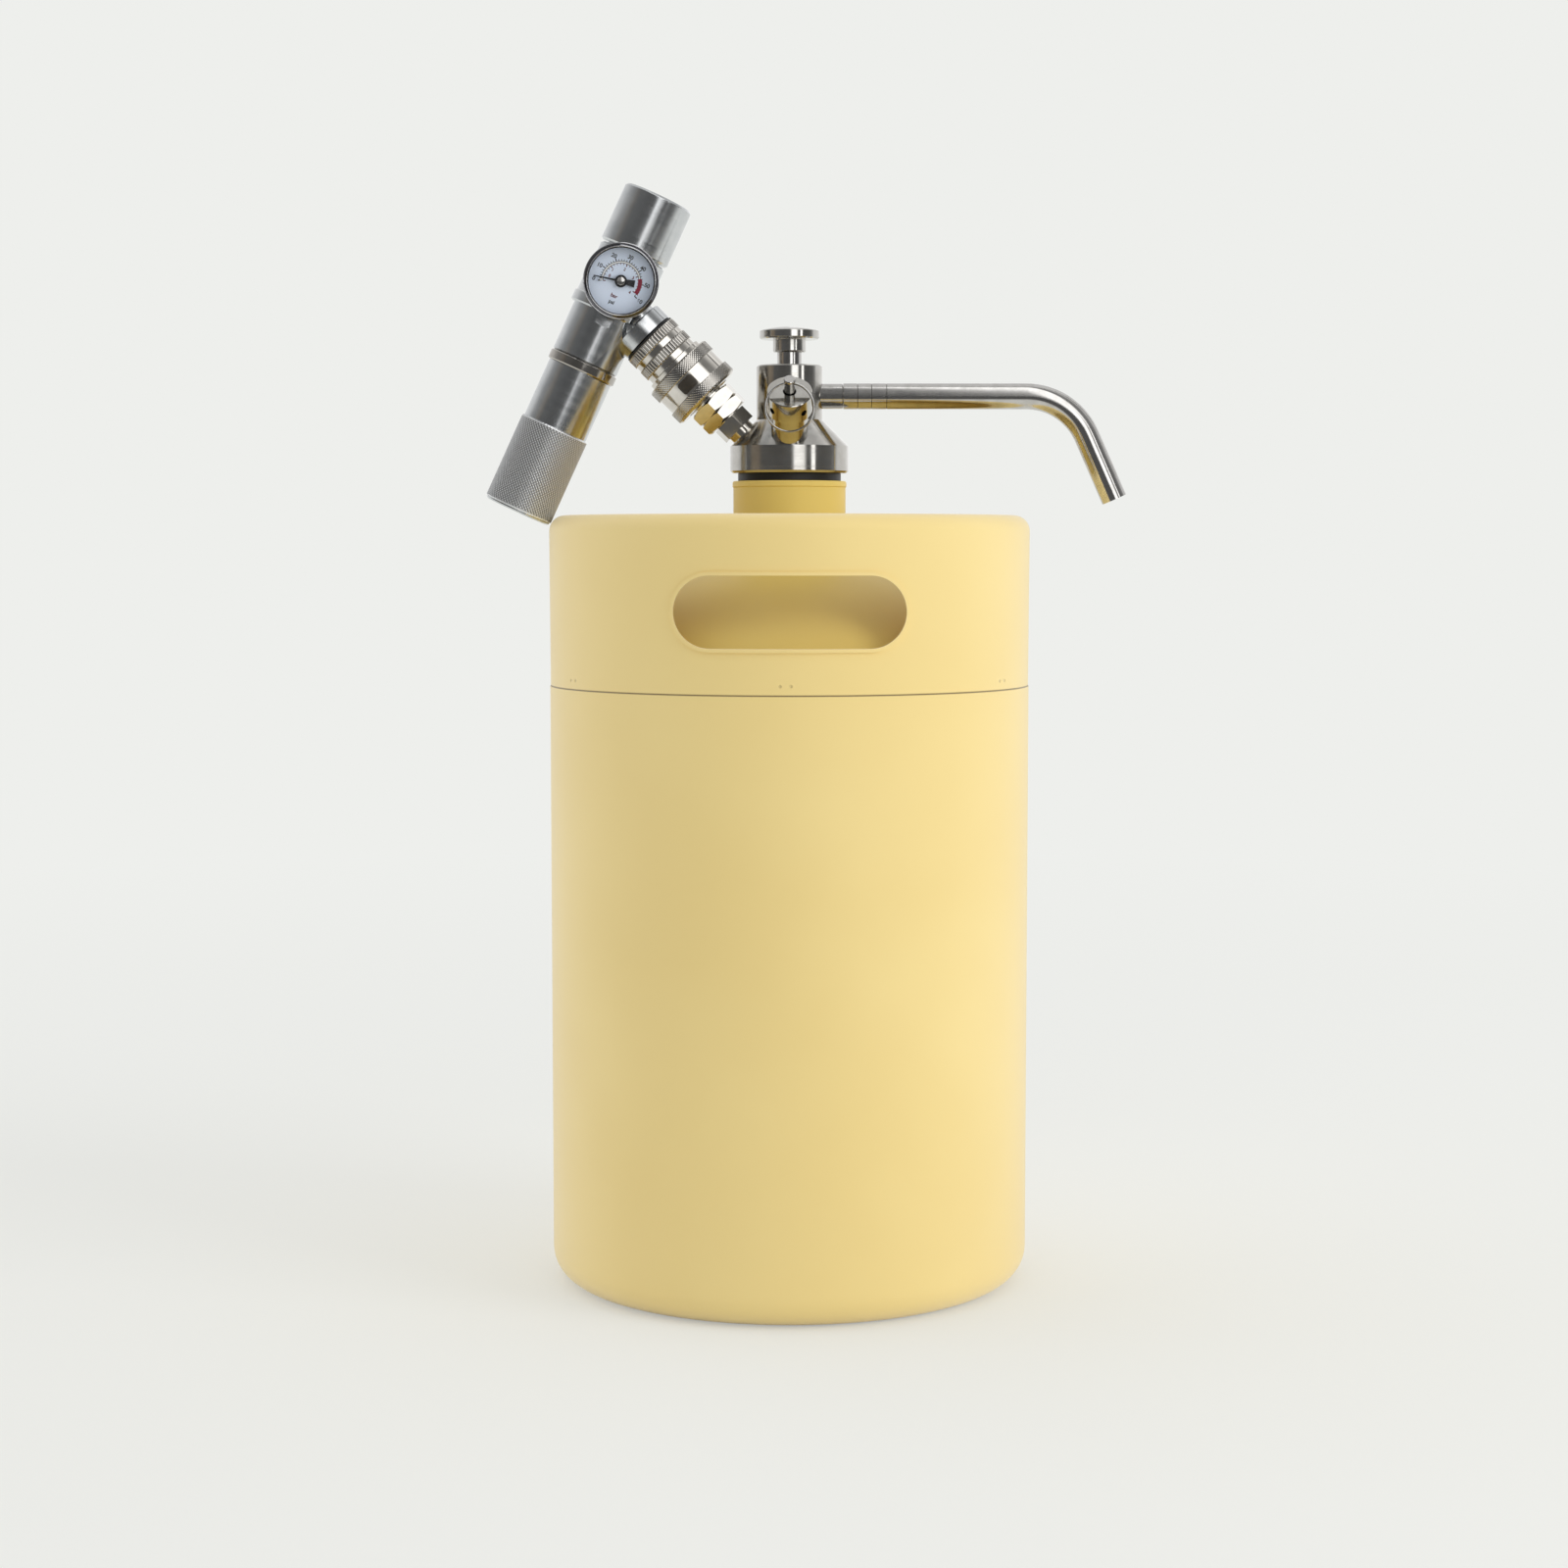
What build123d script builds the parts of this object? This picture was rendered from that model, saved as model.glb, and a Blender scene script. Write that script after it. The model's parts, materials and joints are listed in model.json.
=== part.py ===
from build123d import *
from math import atan2, cos, degrees, radians, sin, sqrt
import os

os.makedirs("parts", exist_ok=True)

# A mini keg beer dispenser, in millimetres. +Z is up, the origin is the centre of the base,
# the spout reaches out along +X and the gauge faces -Y.
# The keg is a double-wall bottle with a handle collar. The tap head screws into its neck and
# carries the spout, the plunger, a relief valve and the plug of a quick coupler. The gas
# regulator hangs on that coupler with its gauge, its adjusting knob and its gas cartridge.

# ---- Driving dimensions: clearances
weld_gap = 0.05      # between pieces that are welded, pressed or screwed together
shaft_gap = 0.05     # radial running clearance of a shaft or a guided plug
slide_gap = 0.35     # radial clearance between pieces that only pass each other
face_gap = 0.1       # axial clearance under a face that turns

# ---- Driving dimensions: keg
keg_r = 88.0
shell_wall = 1.0
vessel_wall = 0.7
seam_z = 220.25      # where the collar stands on the shell
foot_round = 12.0    # outer bend at the bottom of the shell
foot_land_w = 4.5    # width of the flat ring that the keg stands on
foot_turn_up = 8.0   # height of the sheet turned up inside the foot
foot_bend = 1.5
plate_skirt = 6.0
plate_crown = 3.5
cap_r = 11.0
cap_t = 1.6
cap_stem_r = 2.9
insulation = 7.8     # gap between shell and inner vessel
vessel_floor = 18.0
vessel_foot_round = 14.0
skirt_depth = 6.0    # how far the shoulder reaches down inside the shell
skirt_rise = 3.75    # straight part of the shoulder above the seam
knuckle_r = 16.0
crown_r = 119.8
vessel_knuckle_r = 12.0
collar_step = 0.2    # the collar stands this much inside the shell's face
collar_flare = 0.3   # growth in radius from the seam to the rolled rim
collar_h = 62.05
roll_r = 5.8         # outer radius of the rolled rim
roll_hem = 2.5
slot_w = 80.1
slot_h = 25.0
slot_rise = 28.45    # centre of a hand slot above the seam
slot_lip_w = 1.2
slot_lip_out = 0.8
slot_lip_in = 1.6
neck_r = 20.6
neck_wall = 4.1      # with its inner thread
neck_rise = 74.55    # top of the neck above the seam
neck_depth = 11.0    # how far the neck reaches under the shoulder
bead_out = 0.3
bead_h = 2.1
bead_drop = 0.2
root_fillet = 3.0

# ---- Driving dimensions: tap head
gasket_step = 1.75    # the gasket's edge lies this much inside the neck's face
gasket_t = 2.9
base_r = 21.75
base_h = 9.8
base_chamfer = 0.8
tower_r = 12.1
tower_h = 19.8
edge = 0.5           # small turned chamfers
skirt_wall = 3.0
skirt_len = 14.7     # threaded skirt that goes down into the neck
hollow_up = 2.3      # height of the hollow above the head's underside
chamber_r = 6.5      # lower valve chamber
chamber_h = 20.5
outlet_chamber_r = 5.5
outlet_chamber_h = 10.5
seat_t = 1.5
seat_hole_r = 3.6
holder_flange_r = 8.3
holder_flange_t = 2.5
holder_spigot = 4.0
tube_r = 4.0
tube_wall = 0.5
tube_floor_gap = 3.0
port_bore_r = 2.5
port_bore_depth = 8.5
drop_bore_r = 1.8
spout_rise = 28.1    # spout axis above the head's underside

# ---- Driving dimensions: plunger
stem_r = 4.5
stem_neck_r = 2.5
stem_spigot_r = 2.9
knob_gap = 4.75      # shaft in sight between the tower and the knob's hub
hub_r = 6.05
hub_h = 4.8
disc_r = 10.95
disc_h = 3.2
disc_crown = 1.4
plug_r = 5.0
plug_t = 3.9
flange_r = 3.6
flange_t = 1.4
plunger_travel = 4.0
plunger_coil_r = 4.2
plunger_wire_r = 0.4
plunger_turns = 4.0
seal_wire_r = 0.75
seal_pitch = 2.4

# ---- Driving dimensions: spout
stub_r = 4.6
stub_len = 7.4       # in sight outside the tower
stub_socket = 5.0    # depth of the stub inside the tower
spigot_r = 3.5
spigot_len = 8.0
spout_r = 4.75
spout_bore_r = 3.75
spout_straight = 67.1
spout_bend_r = 24.5
spout_bend = 66.0
spout_drop = 25.2
ring_places = (5.3, 10.4, 15.9)  # fine turned rings, from the spout's root
ring_w = 0.5
ring_deep = 0.3

# ---- Driving dimensions: relief valve, along its own 45 degree axis
port_tilt = 45.0
valve_r = 6.6
valve_seat_depth = 1.2
valve_spigot_r = 4.5
valve_spigot = 6.3
valve_h = 11.1
valve_chamber_r = 4.3
valve_seat_t = 1.2
valve_hole_r = 1.5
valve_neck_r = 5.5
valve_neck_h = 1.4
cap_out_r = 8.1
cap_h = 8.3
cap_top_t = 2.4
vent_r = 1.2
vent_drop = 4.7
vent_turn = -5.5
pin_r = 1.9
pin_head_r = 2.1
pin_head_h = 1.2
pin_out = 6.0
pin_hole_r = 2.4
eye_r = 1.2
eye_rise = 3.9
poppet_r = 3.9
poppet_t = 1.4
disc_seal_r = 3.2
disc_seal_t = 1.4
relief_coil_r = 3.2
relief_wire_r = 0.35
relief_turns = 7.0
ring_out_r = 9.0
ring_wire_r = 0.4
ring_turn_gap = 0.05
ring_lean = 4.0      # from upright, where the ring rests on the rim of the cap

# ---- Driving dimensions: gas line, along its own 45 degree axis from the head's cone
post_neck_r = 4.95
post_spigot_r = 4.2
post_spigot = 6.0
post_neck_end = 1.9
post_hex = 12.4
post_turn = 42.0
post_hex_end = 7.4
post_thread_r = 5.5
post_end = 12.9
gas_bore_r = 2.0
nut_hex = 17.0
nut_turn = 21.0
nut_gap = 0.3        # thread in sight in front of the nut
nut_end = 17.2
nut_groove_at = 12.2
nut_groove = 0.9
nipple_collar_r = 6.9
nipple_collar_end = 18.0
nipple_body_r = 4.2
nipple_flange_r = 5.1
nipple_flange_t = 1.5
plug_out_r = 5.9
plug_tip_r = 4.4
plug_end = 35.8
plug_land_end = 32.0
ball_at = 27.2
ball_r = 2.2
ball_count = 6
ball_groove_r = 4.7
ball_groove_half = 2.3
body_front = 18.6
body_out_r = 9.0
flange_front = 34.0
coupler_flange_r = 11.8
tail_front = 35.9
coupler_spigot_r = 8.0
coupler_spigot_end = 45.0
ring_groove_t = 1.0
ring_groove_r = 8.3
stop_ring_r = 10.2
stop_ring_back = 25.2
sleeve_front = 18.2
sleeve_back = 34.0
sleeve_r = 13.9
sleeve_band_r = 13.2
band_front = 23.1
band_back = 29.4
sleeve_lip = 1.5
sleeve_room_r = 10.7
cam_ramp = 1.2
cam_back = 29.4
badge_w = 7.0
badge_h = 4.7
badge_deep = 0.3
badge_turn = -8.7    # about the gas line, from the side that the gauge faces
coupler_travel = 2.5
coupler_coil_r = 10.1
coupler_wire_r = 0.3
coupler_turns = 2.0
tail_r = 11.1
tail_groove_r = 10.7
tail_bands = (38.2, 42.0, 44.2, 47.8)
tail_end = 48.1
tail_spigot_r = 5.0
tail_spigot = 4.0
boss_seal_r = 10.9
boss_seal_t = 0.6    # washer between the coupler's tail and the boss
boss_r = 10.75
boss_end = 55.2
boss_root_r = 9.0

# ---- Driving dimensions: regulator barrel, measured from where the two axes cross
barrel_at = 67.7     # along the gas line
barrel_lean = 24.75  # from upright, top towards the spout
block_r = 12.6
block_top = 18.4
waist_r = 13.4
waist_top = 3.3
waist_bottom = -1.0
collar_band_r = 14.1
collar_band_bottom = -5.5
lower_r = 12.65
lower_bottom = -24.4
band_chamfer = 0.6
neck_thread_r = 9.7
neck_thread_top = 26.0
spring_room_r = 8.2
spring_room_floor = 9.0
low_room_r = 7.0
low_room_floor = 3.5
poppet_room_r = 3.5
poppet_room_floor = -8.0
poppet_room_top = -4.0
passage_r = 2.2
piston_travel = 0.6  # closes the gas valve
seal_pocket_r = 6.0
seal_pocket_floor = -13.0
cartridge_bore_top = -16.0
cartridge_bore_r = 11.0
end_ring_r = 13.0
end_ring_t = 3.8
flat_r = 17.0
flat_deep = 0.41
piston_t = 3.4
piston_seal_wire = 0.6
spring_disc_t = 1.5
spring_coil_r = 5.8
spring_wire_r = 0.8
spring_turns = 4.0
screw_r = 3.0
knob_bottom = 19.0
knob_top = 41.2
knob_r = 13.1
knob_wall_top = 4.0
knob_chamfer = 0.8
grip_r = 12.95
grip_top = -50.6
grip_bottom = -83.2
barrel_end = -84.1
sleeve_plain_r = 12.2
sleeve_rim_r = 12.5
cartridge_r = 9.0
cartridge_wall = 1.4
cartridge_neck_r = 4.2
cartridge_neck = 7.0
cartridge_shoulder = 9.0
cartridge_gap = 0.6
cartridge_floor_t = 2.0
cartridge_travel = 80.0
pierce_r = 0.9
pierce_tip = 4.0
pierce_hole_r = 1.3

# ---- Driving dimensions: gauge, along its own axis from the barrel's axis
gauge_rise = 6.9     # along the barrel, above the crossing
gauge_yaw = 4.5      # turned towards the spout
gauge_stem_r = 4.9
gauge_stem_in = 8.6
gauge_hex = 11.0
case_back = 14.8
case_front = 21.8
case_r = 12.9
case_wall = 0.8
bezel_r = 13.6
bezel_back = 18.5
bezel_front = 24.0
bezel_open_r = 11.9
lens_t = 1.0
dial_at = 19.4
dial_t = 0.4
dial_r = 12.0
pointer_gap = 0.6
pointer_t = 0.3
pointer_long = 10.0
pointer_tail = 5.0
pointer_tail_w = 2.6   # the tail widens to its end
pointer_tail_root_w = 1.4
pointer_root_w = 0.9
pointer_tip_w = 0.25
pointer_hub_r = 2.2
pointer_hub_t = 0.9
arbor_r = 0.6
zero_angle = 193.0   # where the pointer rests, in the dial's own frame
stop_pin_r = 0.35
stop_pin_at = 7.4
bourdon_r = 8.6
bourdon_tube_r = 1.1

# ---- Places worked out from the driving dimensions
foot_land_out = keg_r - foot_round
foot_land_in = foot_land_out - foot_land_w
collar_low_r = keg_r - collar_step
collar_high_r = collar_low_r + collar_flare
collar_top = seam_z + collar_h
roll_z = collar_top - roll_r
shoulder_r = collar_low_r - shell_wall - weld_gap
vessel_r = keg_r - shell_wall - insulation
neck_bore_r = neck_r - neck_wall
gasket_r = neck_r - gasket_step
neck_top = seam_z + neck_rise
head_z = neck_top + gasket_t
skirt_r = neck_bore_r - slide_gap
cone_z = head_z + base_h
cone_h = base_r - tower_r
tower_z = cone_z + cone_h
tower_top = tower_z + tower_h
spout_z = head_z + spout_rise
hollow_z = head_z + hollow_up
chamber_top = hollow_z + chamber_h
outlet_top = chamber_top + outlet_chamber_h
seat_z = chamber_top - seat_t
holder_top = hollow_z + holder_spigot
port_r = (base_r + tower_r) / 2
port_z = cone_z + cone_h / 2


def axis_frame(origin, along, across):
    """The working plane of a turned piece: its y runs along the axis and its x across it."""
    return Plane(origin=origin, x_dir=across, z_dir=Vector(*across).cross(Vector(*along)))


def cross_plane(frame, height):
    """The plane square to a turned piece's axis, at a height along it."""
    return Plane(origin=frame.origin + frame.y_dir * height, x_dir=frame.x_dir, z_dir=frame.y_dir)


def turn(frame, *outline, mode=Mode.ADD):
    """Turn a closed outline of (radius, height) points about the frame's axis."""
    with BuildSketch(frame) as section:
        with BuildLine():
            Polyline(*outline, close=True)
        make_face()
    revolve(section.sketch.faces(), axis=Axis(frame.origin, frame.y_dir), mode=mode)


def bore(frame, radius, low, high):
    """Cut a round hole on the frame's axis between two heights."""
    turn(frame, (0, low), (radius, low), (radius, high), (0, high), mode=Mode.SUBTRACT)


def hexagon(frame, across_flats, low, high, turned=0.0, mode=Mode.ADD):
    """A hexagonal prism on the frame's axis, a corner on its x when turned is 0."""
    with BuildSketch(cross_plane(frame, low)) as section:
        RegularPolygon(across_flats / 2, 6, major_radius=False, rotation=turned)
    extrude(section.sketch.faces(), amount=high - low, mode=mode)


def hex_corner_cut(frame, across_flats, low, high):
    """Turn off the corners at both ends of a hexagon, as its bar stock has them."""
    corner = across_flats / sqrt(3)
    flat = across_flats / 2 * 0.98
    drop = (corner - flat) * 0.5
    for near, far in ((low, low + drop), (high, high - drop)):
        turn(frame, (flat, near), (corner + edge, near), (corner + edge, far + (far - near) * 0.5),
             mode=Mode.SUBTRACT)


def coil(frame, mean_r, wire_r, low, high, turns):
    """A round-wire helix on the frame's axis whose end turns lie between two heights."""
    length = high - low - 2 * wire_r
    start = frame.origin + frame.y_dir * (low + wire_r)
    with BuildLine(mode=Mode.PRIVATE) as path:
        Helix(length / turns, length, mean_r, center=start, direction=frame.y_dir)
    with BuildSketch(Plane(origin=path.line @ 0, z_dir=path.line % 0)) as section:
        Circle(wire_r)
    sweep(section.sketch.faces(), path=path.line, is_frenet=True)


def seal_ring(frame, mean_r, wire_r, height):
    """A round-section ring on the frame's axis."""
    with BuildSketch(frame) as section:
        with Locations((mean_r, height)):
            Circle(wire_r)
    revolve(section.sketch.faces(), axis=Axis(frame.origin, frame.y_dir))


def dome_tangent(side_r, bend_r, top_r, base_z):
    """Centre height of a crown that is tangent to a side bend, and where the two arcs meet."""
    offset = side_r - bend_r
    centre_z = base_z - sqrt((top_r - bend_r) ** 2 - offset ** 2)
    share = top_r / (top_r - bend_r)
    return centre_z, (offset * share, centre_z + (base_z - centre_z) * share)


def dome_height(centre_z, top_r, radius):
    """Height of a crown's surface at a radius."""
    return centre_z + sqrt(top_r ** 2 - radius ** 2)


def domed_face(low_z, side_r, bend_r, top_r, base_z, foot_r=0.0):
    """The filled half section of a straight side, a bend and a crown, down to low_z."""
    centre_z, meet = dome_tangent(side_r, bend_r, top_r, base_z)
    with BuildSketch(Plane.XZ) as section:
        with BuildLine():
            Line((0, low_z), (side_r - foot_r, low_z))
            if foot_r:
                RadiusArc((side_r - foot_r, low_z), (side_r, low_z + foot_r), -foot_r)
            Line((side_r, low_z + foot_r), (side_r, base_z))
            RadiusArc((side_r, base_z), meet, -bend_r)
            RadiusArc(meet, (0, centre_z + top_r), -top_r)
            Line((0, centre_z + top_r), (0, low_z))
        make_face()
    return section.sketch.faces()


# ---- Frames of the slanting axes
slant = radians(port_tilt)
lean = radians(barrel_lean)
yaw = radians(gauge_yaw)
upright = axis_frame((0, 0, 0), (0, 0, 1), (1, 0, 0))
gas_frame = axis_frame((-port_r, 0, port_z), (-sin(slant), 0, cos(slant)), (cos(slant), 0, sin(slant)))
relief_frame = axis_frame((0, -port_r, port_z), (0, -sin(slant), cos(slant)), (1, 0, 0))
spout_frame = axis_frame((0, 0, spout_z), (1, 0, 0), (0, 0, -1))
crossing = gas_frame.origin + gas_frame.y_dir * barrel_at
barrel_frame = axis_frame(crossing, (sin(lean), 0, cos(lean)), (cos(lean), 0, -sin(lean)))
gauge_out = barrel_frame.x_dir * sin(yaw) - Vector(0, 1, 0) * cos(yaw)
gauge_across = barrel_frame.y_dir.cross(gauge_out)
gauge_frame = axis_frame(crossing + barrel_frame.y_dir * gauge_rise, gauge_out, gauge_across)

# ---- Keg
with BuildPart() as outer_shell:
    with BuildSketch(Plane.XZ):
        with BuildLine():
            inside_r = keg_r - shell_wall
            turn_up_r = foot_land_in - foot_bend
            Line((keg_r, seam_z), (keg_r, foot_round))
            RadiusArc((keg_r, foot_round), (foot_land_out, 0), foot_round)
            Line((foot_land_out, 0), (foot_land_in, 0))
            RadiusArc((foot_land_in, 0), (turn_up_r, foot_bend), foot_bend)
            Line((turn_up_r, foot_bend), (turn_up_r, foot_turn_up))
            Line((turn_up_r, foot_turn_up), (turn_up_r + shell_wall, foot_turn_up))
            Line((turn_up_r + shell_wall, foot_turn_up), (turn_up_r + shell_wall, shell_wall))
            Line((turn_up_r + shell_wall, shell_wall), (foot_land_out, shell_wall))
            RadiusArc((foot_land_out, shell_wall), (inside_r, foot_round), shell_wall - foot_round)
            Line((inside_r, foot_round), (inside_r, seam_z))
            Line((inside_r, seam_z), (keg_r, seam_z))
        make_face()
    revolve(axis=Axis.Z)
outer_shell.part.label = "outer_shell"
export_step(outer_shell.part, "parts/outer_shell.step")

plate_r = foot_land_in - foot_bend - weld_gap
plate_low = foot_turn_up - plate_skirt
plate_top = foot_turn_up + plate_crown
with BuildPart() as base_plate:
    with BuildSketch(Plane.XZ):
        with BuildLine():
            Line((0, plate_top), (0, plate_top - shell_wall))
            TangentArc((0, plate_top - shell_wall), (plate_r - shell_wall, foot_turn_up - shell_wall),
                       tangent=(1, 0))
            Line((plate_r - shell_wall, foot_turn_up - shell_wall), (plate_r - shell_wall, plate_low))
            Line((plate_r - shell_wall, plate_low), (plate_r, plate_low))
            Line((plate_r, plate_low), (plate_r, foot_turn_up))
            TangentArc((0, plate_top), (plate_r, foot_turn_up), tangent=(1, 0))
        make_face()
    revolve(axis=Axis.Z)
    bore(upright, cap_stem_r + weld_gap, 0, plate_top)
base_plate.part.label = "base_plate"
export_step(base_plate.part, "parts/base_plate.step")

cap_face = plate_top - shell_wall - 2 * weld_gap - plate_crown * (cap_r / plate_r) ** 2
with BuildPart() as vacuum_seal_cap:
    turn(upright, (0, cap_face - cap_t), (cap_r - cap_t / 2, cap_face - cap_t),
         (cap_r, cap_face - cap_t / 2), (cap_r, cap_face), (cap_stem_r, cap_face),
         (cap_stem_r, plate_top + shell_wall), (0, plate_top + shell_wall))
vacuum_seal_cap.part.label = "vacuum_seal_cap"
export_step(vacuum_seal_cap.part, "parts/vacuum_seal_cap.step")

knuckle_z = seam_z + skirt_rise
with BuildPart() as shoulder:
    revolve(domed_face(seam_z - skirt_depth, shoulder_r, knuckle_r, crown_r, knuckle_z), axis=Axis.Z)
    revolve(domed_face(seam_z - skirt_depth, shoulder_r - shell_wall, knuckle_r - shell_wall,
                       crown_r - shell_wall, knuckle_z), axis=Axis.Z, mode=Mode.SUBTRACT)
    bore(upright, neck_r + weld_gap, seam_z, neck_top)
shoulder.part.label = "shoulder"
export_step(shoulder.part, "parts/shoulder.step")
crown_z, _ = dome_tangent(shoulder_r, knuckle_r, crown_r, knuckle_z)

# The inner vessel's crown runs at a constant distance under the shoulder's.
vessel_crown_r = crown_r - shell_wall - insulation + vessel_wall
vessel_side = vessel_r - vessel_knuckle_r
vessel_knuckle_z = crown_z + sqrt((vessel_crown_r - vessel_knuckle_r) ** 2 - vessel_side ** 2)
with BuildPart() as inner_vessel:
    revolve(domed_face(vessel_floor, vessel_r, vessel_knuckle_r, vessel_crown_r, vessel_knuckle_z,
                       vessel_foot_round), axis=Axis.Z)
    revolve(domed_face(vessel_floor + vessel_wall, vessel_r - vessel_wall,
                       vessel_knuckle_r - vessel_wall, vessel_crown_r - vessel_wall, vessel_knuckle_z,
                       vessel_foot_round - vessel_wall),
            axis=Axis.Z, mode=Mode.SUBTRACT)
    bore(upright, neck_r + weld_gap, vessel_knuckle_z, neck_top)
inner_vessel.part.label = "inner_vessel"
export_step(inner_vessel.part, "parts/inner_vessel.step")

slot_z = seam_z + slot_rise
lip_r = collar_low_r + collar_flare * slot_rise / (roll_z - seam_z)
with BuildPart() as slot_lips:
    with BuildSketch(Plane.XZ):
        with Locations((lip_r + (slot_lip_out - shell_wall - slot_lip_in) / 2, slot_z)):
            Rectangle(shell_wall + slot_lip_out + slot_lip_in, slot_h * 2)
    revolve(axis=Axis.Z)
    with BuildSketch(Plane.XZ.offset(-keg_r * 2)):
        with Locations((0, slot_z)):
            SlotOverall(slot_w + 2 * slot_lip_w, slot_h + 2 * slot_lip_w)
    extrude(amount=4 * keg_r, mode=Mode.INTERSECT)

with BuildPart() as collar:
    with BuildSketch(Plane.XZ):
        with BuildLine():
            low_z = seam_z + weld_gap
            hem_r = collar_high_r - 2 * roll_r
            Line((collar_low_r - shell_wall, low_z), (collar_low_r, low_z))
            Line((collar_low_r, low_z), (collar_high_r, roll_z))
            ThreePointArc((collar_high_r, roll_z), (hem_r + roll_r, roll_z + roll_r), (hem_r, roll_z))
            Line((hem_r, roll_z), (hem_r, roll_z - roll_hem))
            Line((hem_r, roll_z - roll_hem), (hem_r + shell_wall, roll_z - roll_hem))
            Line((hem_r + shell_wall, roll_z - roll_hem), (hem_r + shell_wall, roll_z))
            ThreePointArc((hem_r + shell_wall, roll_z), (hem_r + roll_r, roll_z + roll_r - shell_wall),
                          (collar_high_r - shell_wall, roll_z))
            Line((collar_high_r - shell_wall, roll_z), (collar_low_r - shell_wall, low_z))
        make_face()
    revolve(axis=Axis.Z)
    add(slot_lips.part)
    with BuildSketch(Plane.XZ.offset(-2 * keg_r)):
        with Locations((0, slot_z)):
            SlotOverall(slot_w, slot_h)
    extrude(amount=4 * keg_r, mode=Mode.SUBTRACT)
collar.part.label = "collar"
export_step(collar.part, "parts/collar.step")

neck_low = dome_height(crown_z, crown_r, neck_r) - neck_depth
root_r = neck_r + root_fillet
with BuildPart() as neck:
    bead_top = neck_top - bead_drop
    turn(upright, (neck_bore_r, neck_low), (neck_r, neck_low), (neck_r, bead_top - bead_h),
         (neck_r + bead_out, bead_top - bead_h + bead_out), (neck_r + bead_out, bead_top - bead_out),
         (neck_r, bead_top), (neck_r, neck_top), (neck_bore_r, neck_top))
    with BuildSketch(Plane.XZ):
        with BuildLine():
            seat_out = (root_r, dome_height(crown_z, crown_r, root_r) + weld_gap)
            seat_in = (neck_r, dome_height(crown_z, crown_r, neck_r) + weld_gap)
            seat_up = (neck_r, seat_in[1] + root_fillet)
            Line(seat_out, seat_in)
            Line(seat_in, seat_up)
            RadiusArc(seat_up, seat_out, -root_fillet * 1.4)
        make_face()
    revolve(axis=Axis.Z)
neck.part.label = "neck"
export_step(neck.part, "parts/neck.step")

# ---- Tap head
with BuildPart() as head_gasket:
    turn(upright, (neck_bore_r, neck_top), (gasket_r, neck_top), (gasket_r, head_z),
         (neck_bore_r, head_z))
head_gasket.part.label = "head_gasket"
export_step(head_gasket.part, "parts/head_gasket.step")

with BuildPart() as head_body:
    turn(upright, (0, head_z - skirt_len), (skirt_r - edge, head_z - skirt_len),
         (skirt_r, head_z - skirt_len + edge), (skirt_r, head_z), (base_r - base_chamfer, head_z),
         (base_r, head_z + base_chamfer), (base_r, cone_z), (tower_r, tower_z),
         (tower_r, tower_top - edge), (tower_r - edge, tower_top), (0, tower_top))
    bore(upright, skirt_r - skirt_wall, head_z - skirt_len, hollow_z)
    bore(upright, chamber_r, hollow_z, chamber_top)
    bore(upright, outlet_chamber_r, chamber_top, outlet_top)
    bore(upright, stem_r + shaft_gap, outlet_top, tower_top)
    seal_mid = (outlet_top + tower_top) / 2
    for seal_z in (seal_mid - seal_pitch / 2, seal_mid + seal_pitch / 2):
        bore(upright, stem_r + 2 * (seal_wire_r + weld_gap), seal_z - seal_wire_r - weld_gap,
             seal_z + seal_wire_r + weld_gap)
    bore(spout_frame, stub_r + weld_gap, tower_r - stub_socket, tower_r + edge)
    bore(spout_frame, spigot_r + shaft_gap, stem_neck_r, tower_r)
    for port_frame, seat_r, seat_depth, thread_r, thread_len in (
            (relief_frame, valve_r, valve_seat_depth, valve_spigot_r, valve_spigot),
            (gas_frame, post_neck_r, valve_seat_depth, post_spigot_r, post_spigot)):
        bore(port_frame, seat_r + weld_gap, -seat_depth, seat_r)
        bore(port_frame, thread_r + weld_gap, -seat_depth - thread_len, -seat_depth)
        bore(port_frame, port_bore_r, -port_bore_depth - seat_depth, -seat_depth)
        foot = port_frame.origin - port_frame.y_dir * (port_bore_depth + seat_depth - port_bore_r)
        drop_frame = axis_frame((foot.X, foot.Y, 0), (0, 0, 1), (1, 0, 0))
        bore(drop_frame, drop_bore_r, hollow_z, foot.Z)
head_body.part.label = "head_body"
export_step(head_body.part, "parts/head_body.step")

with BuildPart() as tube_holder:
    turn(upright, (tube_r + weld_gap, hollow_z - holder_flange_t),
         (holder_flange_r, hollow_z - holder_flange_t), (holder_flange_r, hollow_z),
         (chamber_r - weld_gap, hollow_z), (chamber_r - weld_gap, holder_top),
         (tube_r + weld_gap, holder_top))
tube_holder.part.label = "tube_holder"
export_step(tube_holder.part, "parts/tube_holder.step")

tube_low = vessel_floor + vessel_wall + tube_floor_gap
with BuildPart() as dip_tube:
    turn(upright, (tube_r - tube_wall, tube_low), (tube_r, tube_low), (tube_r, holder_top),
         (tube_r - tube_wall, holder_top))
dip_tube.part.label = "dip_tube"
export_step(dip_tube.part, "parts/dip_tube.step")

with BuildPart() as valve_seat:
    turn(upright, (seat_hole_r, seat_z), (chamber_r - weld_gap, seat_z),
         (chamber_r - weld_gap, chamber_top), (seat_hole_r, chamber_top))
valve_seat.part.label = "valve_seat"
export_step(valve_seat.part, "parts/valve_seat.step")

with BuildPart() as stem_seals:
    for seal_z in (seal_mid - seal_pitch / 2, seal_mid + seal_pitch / 2):
        seal_ring(upright, stem_r + shaft_gap + seal_wire_r, seal_wire_r, seal_z)
stem_seals.part.label = "stem_seals"
export_step(stem_seals.part, "parts/stem_seals.step")

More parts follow.
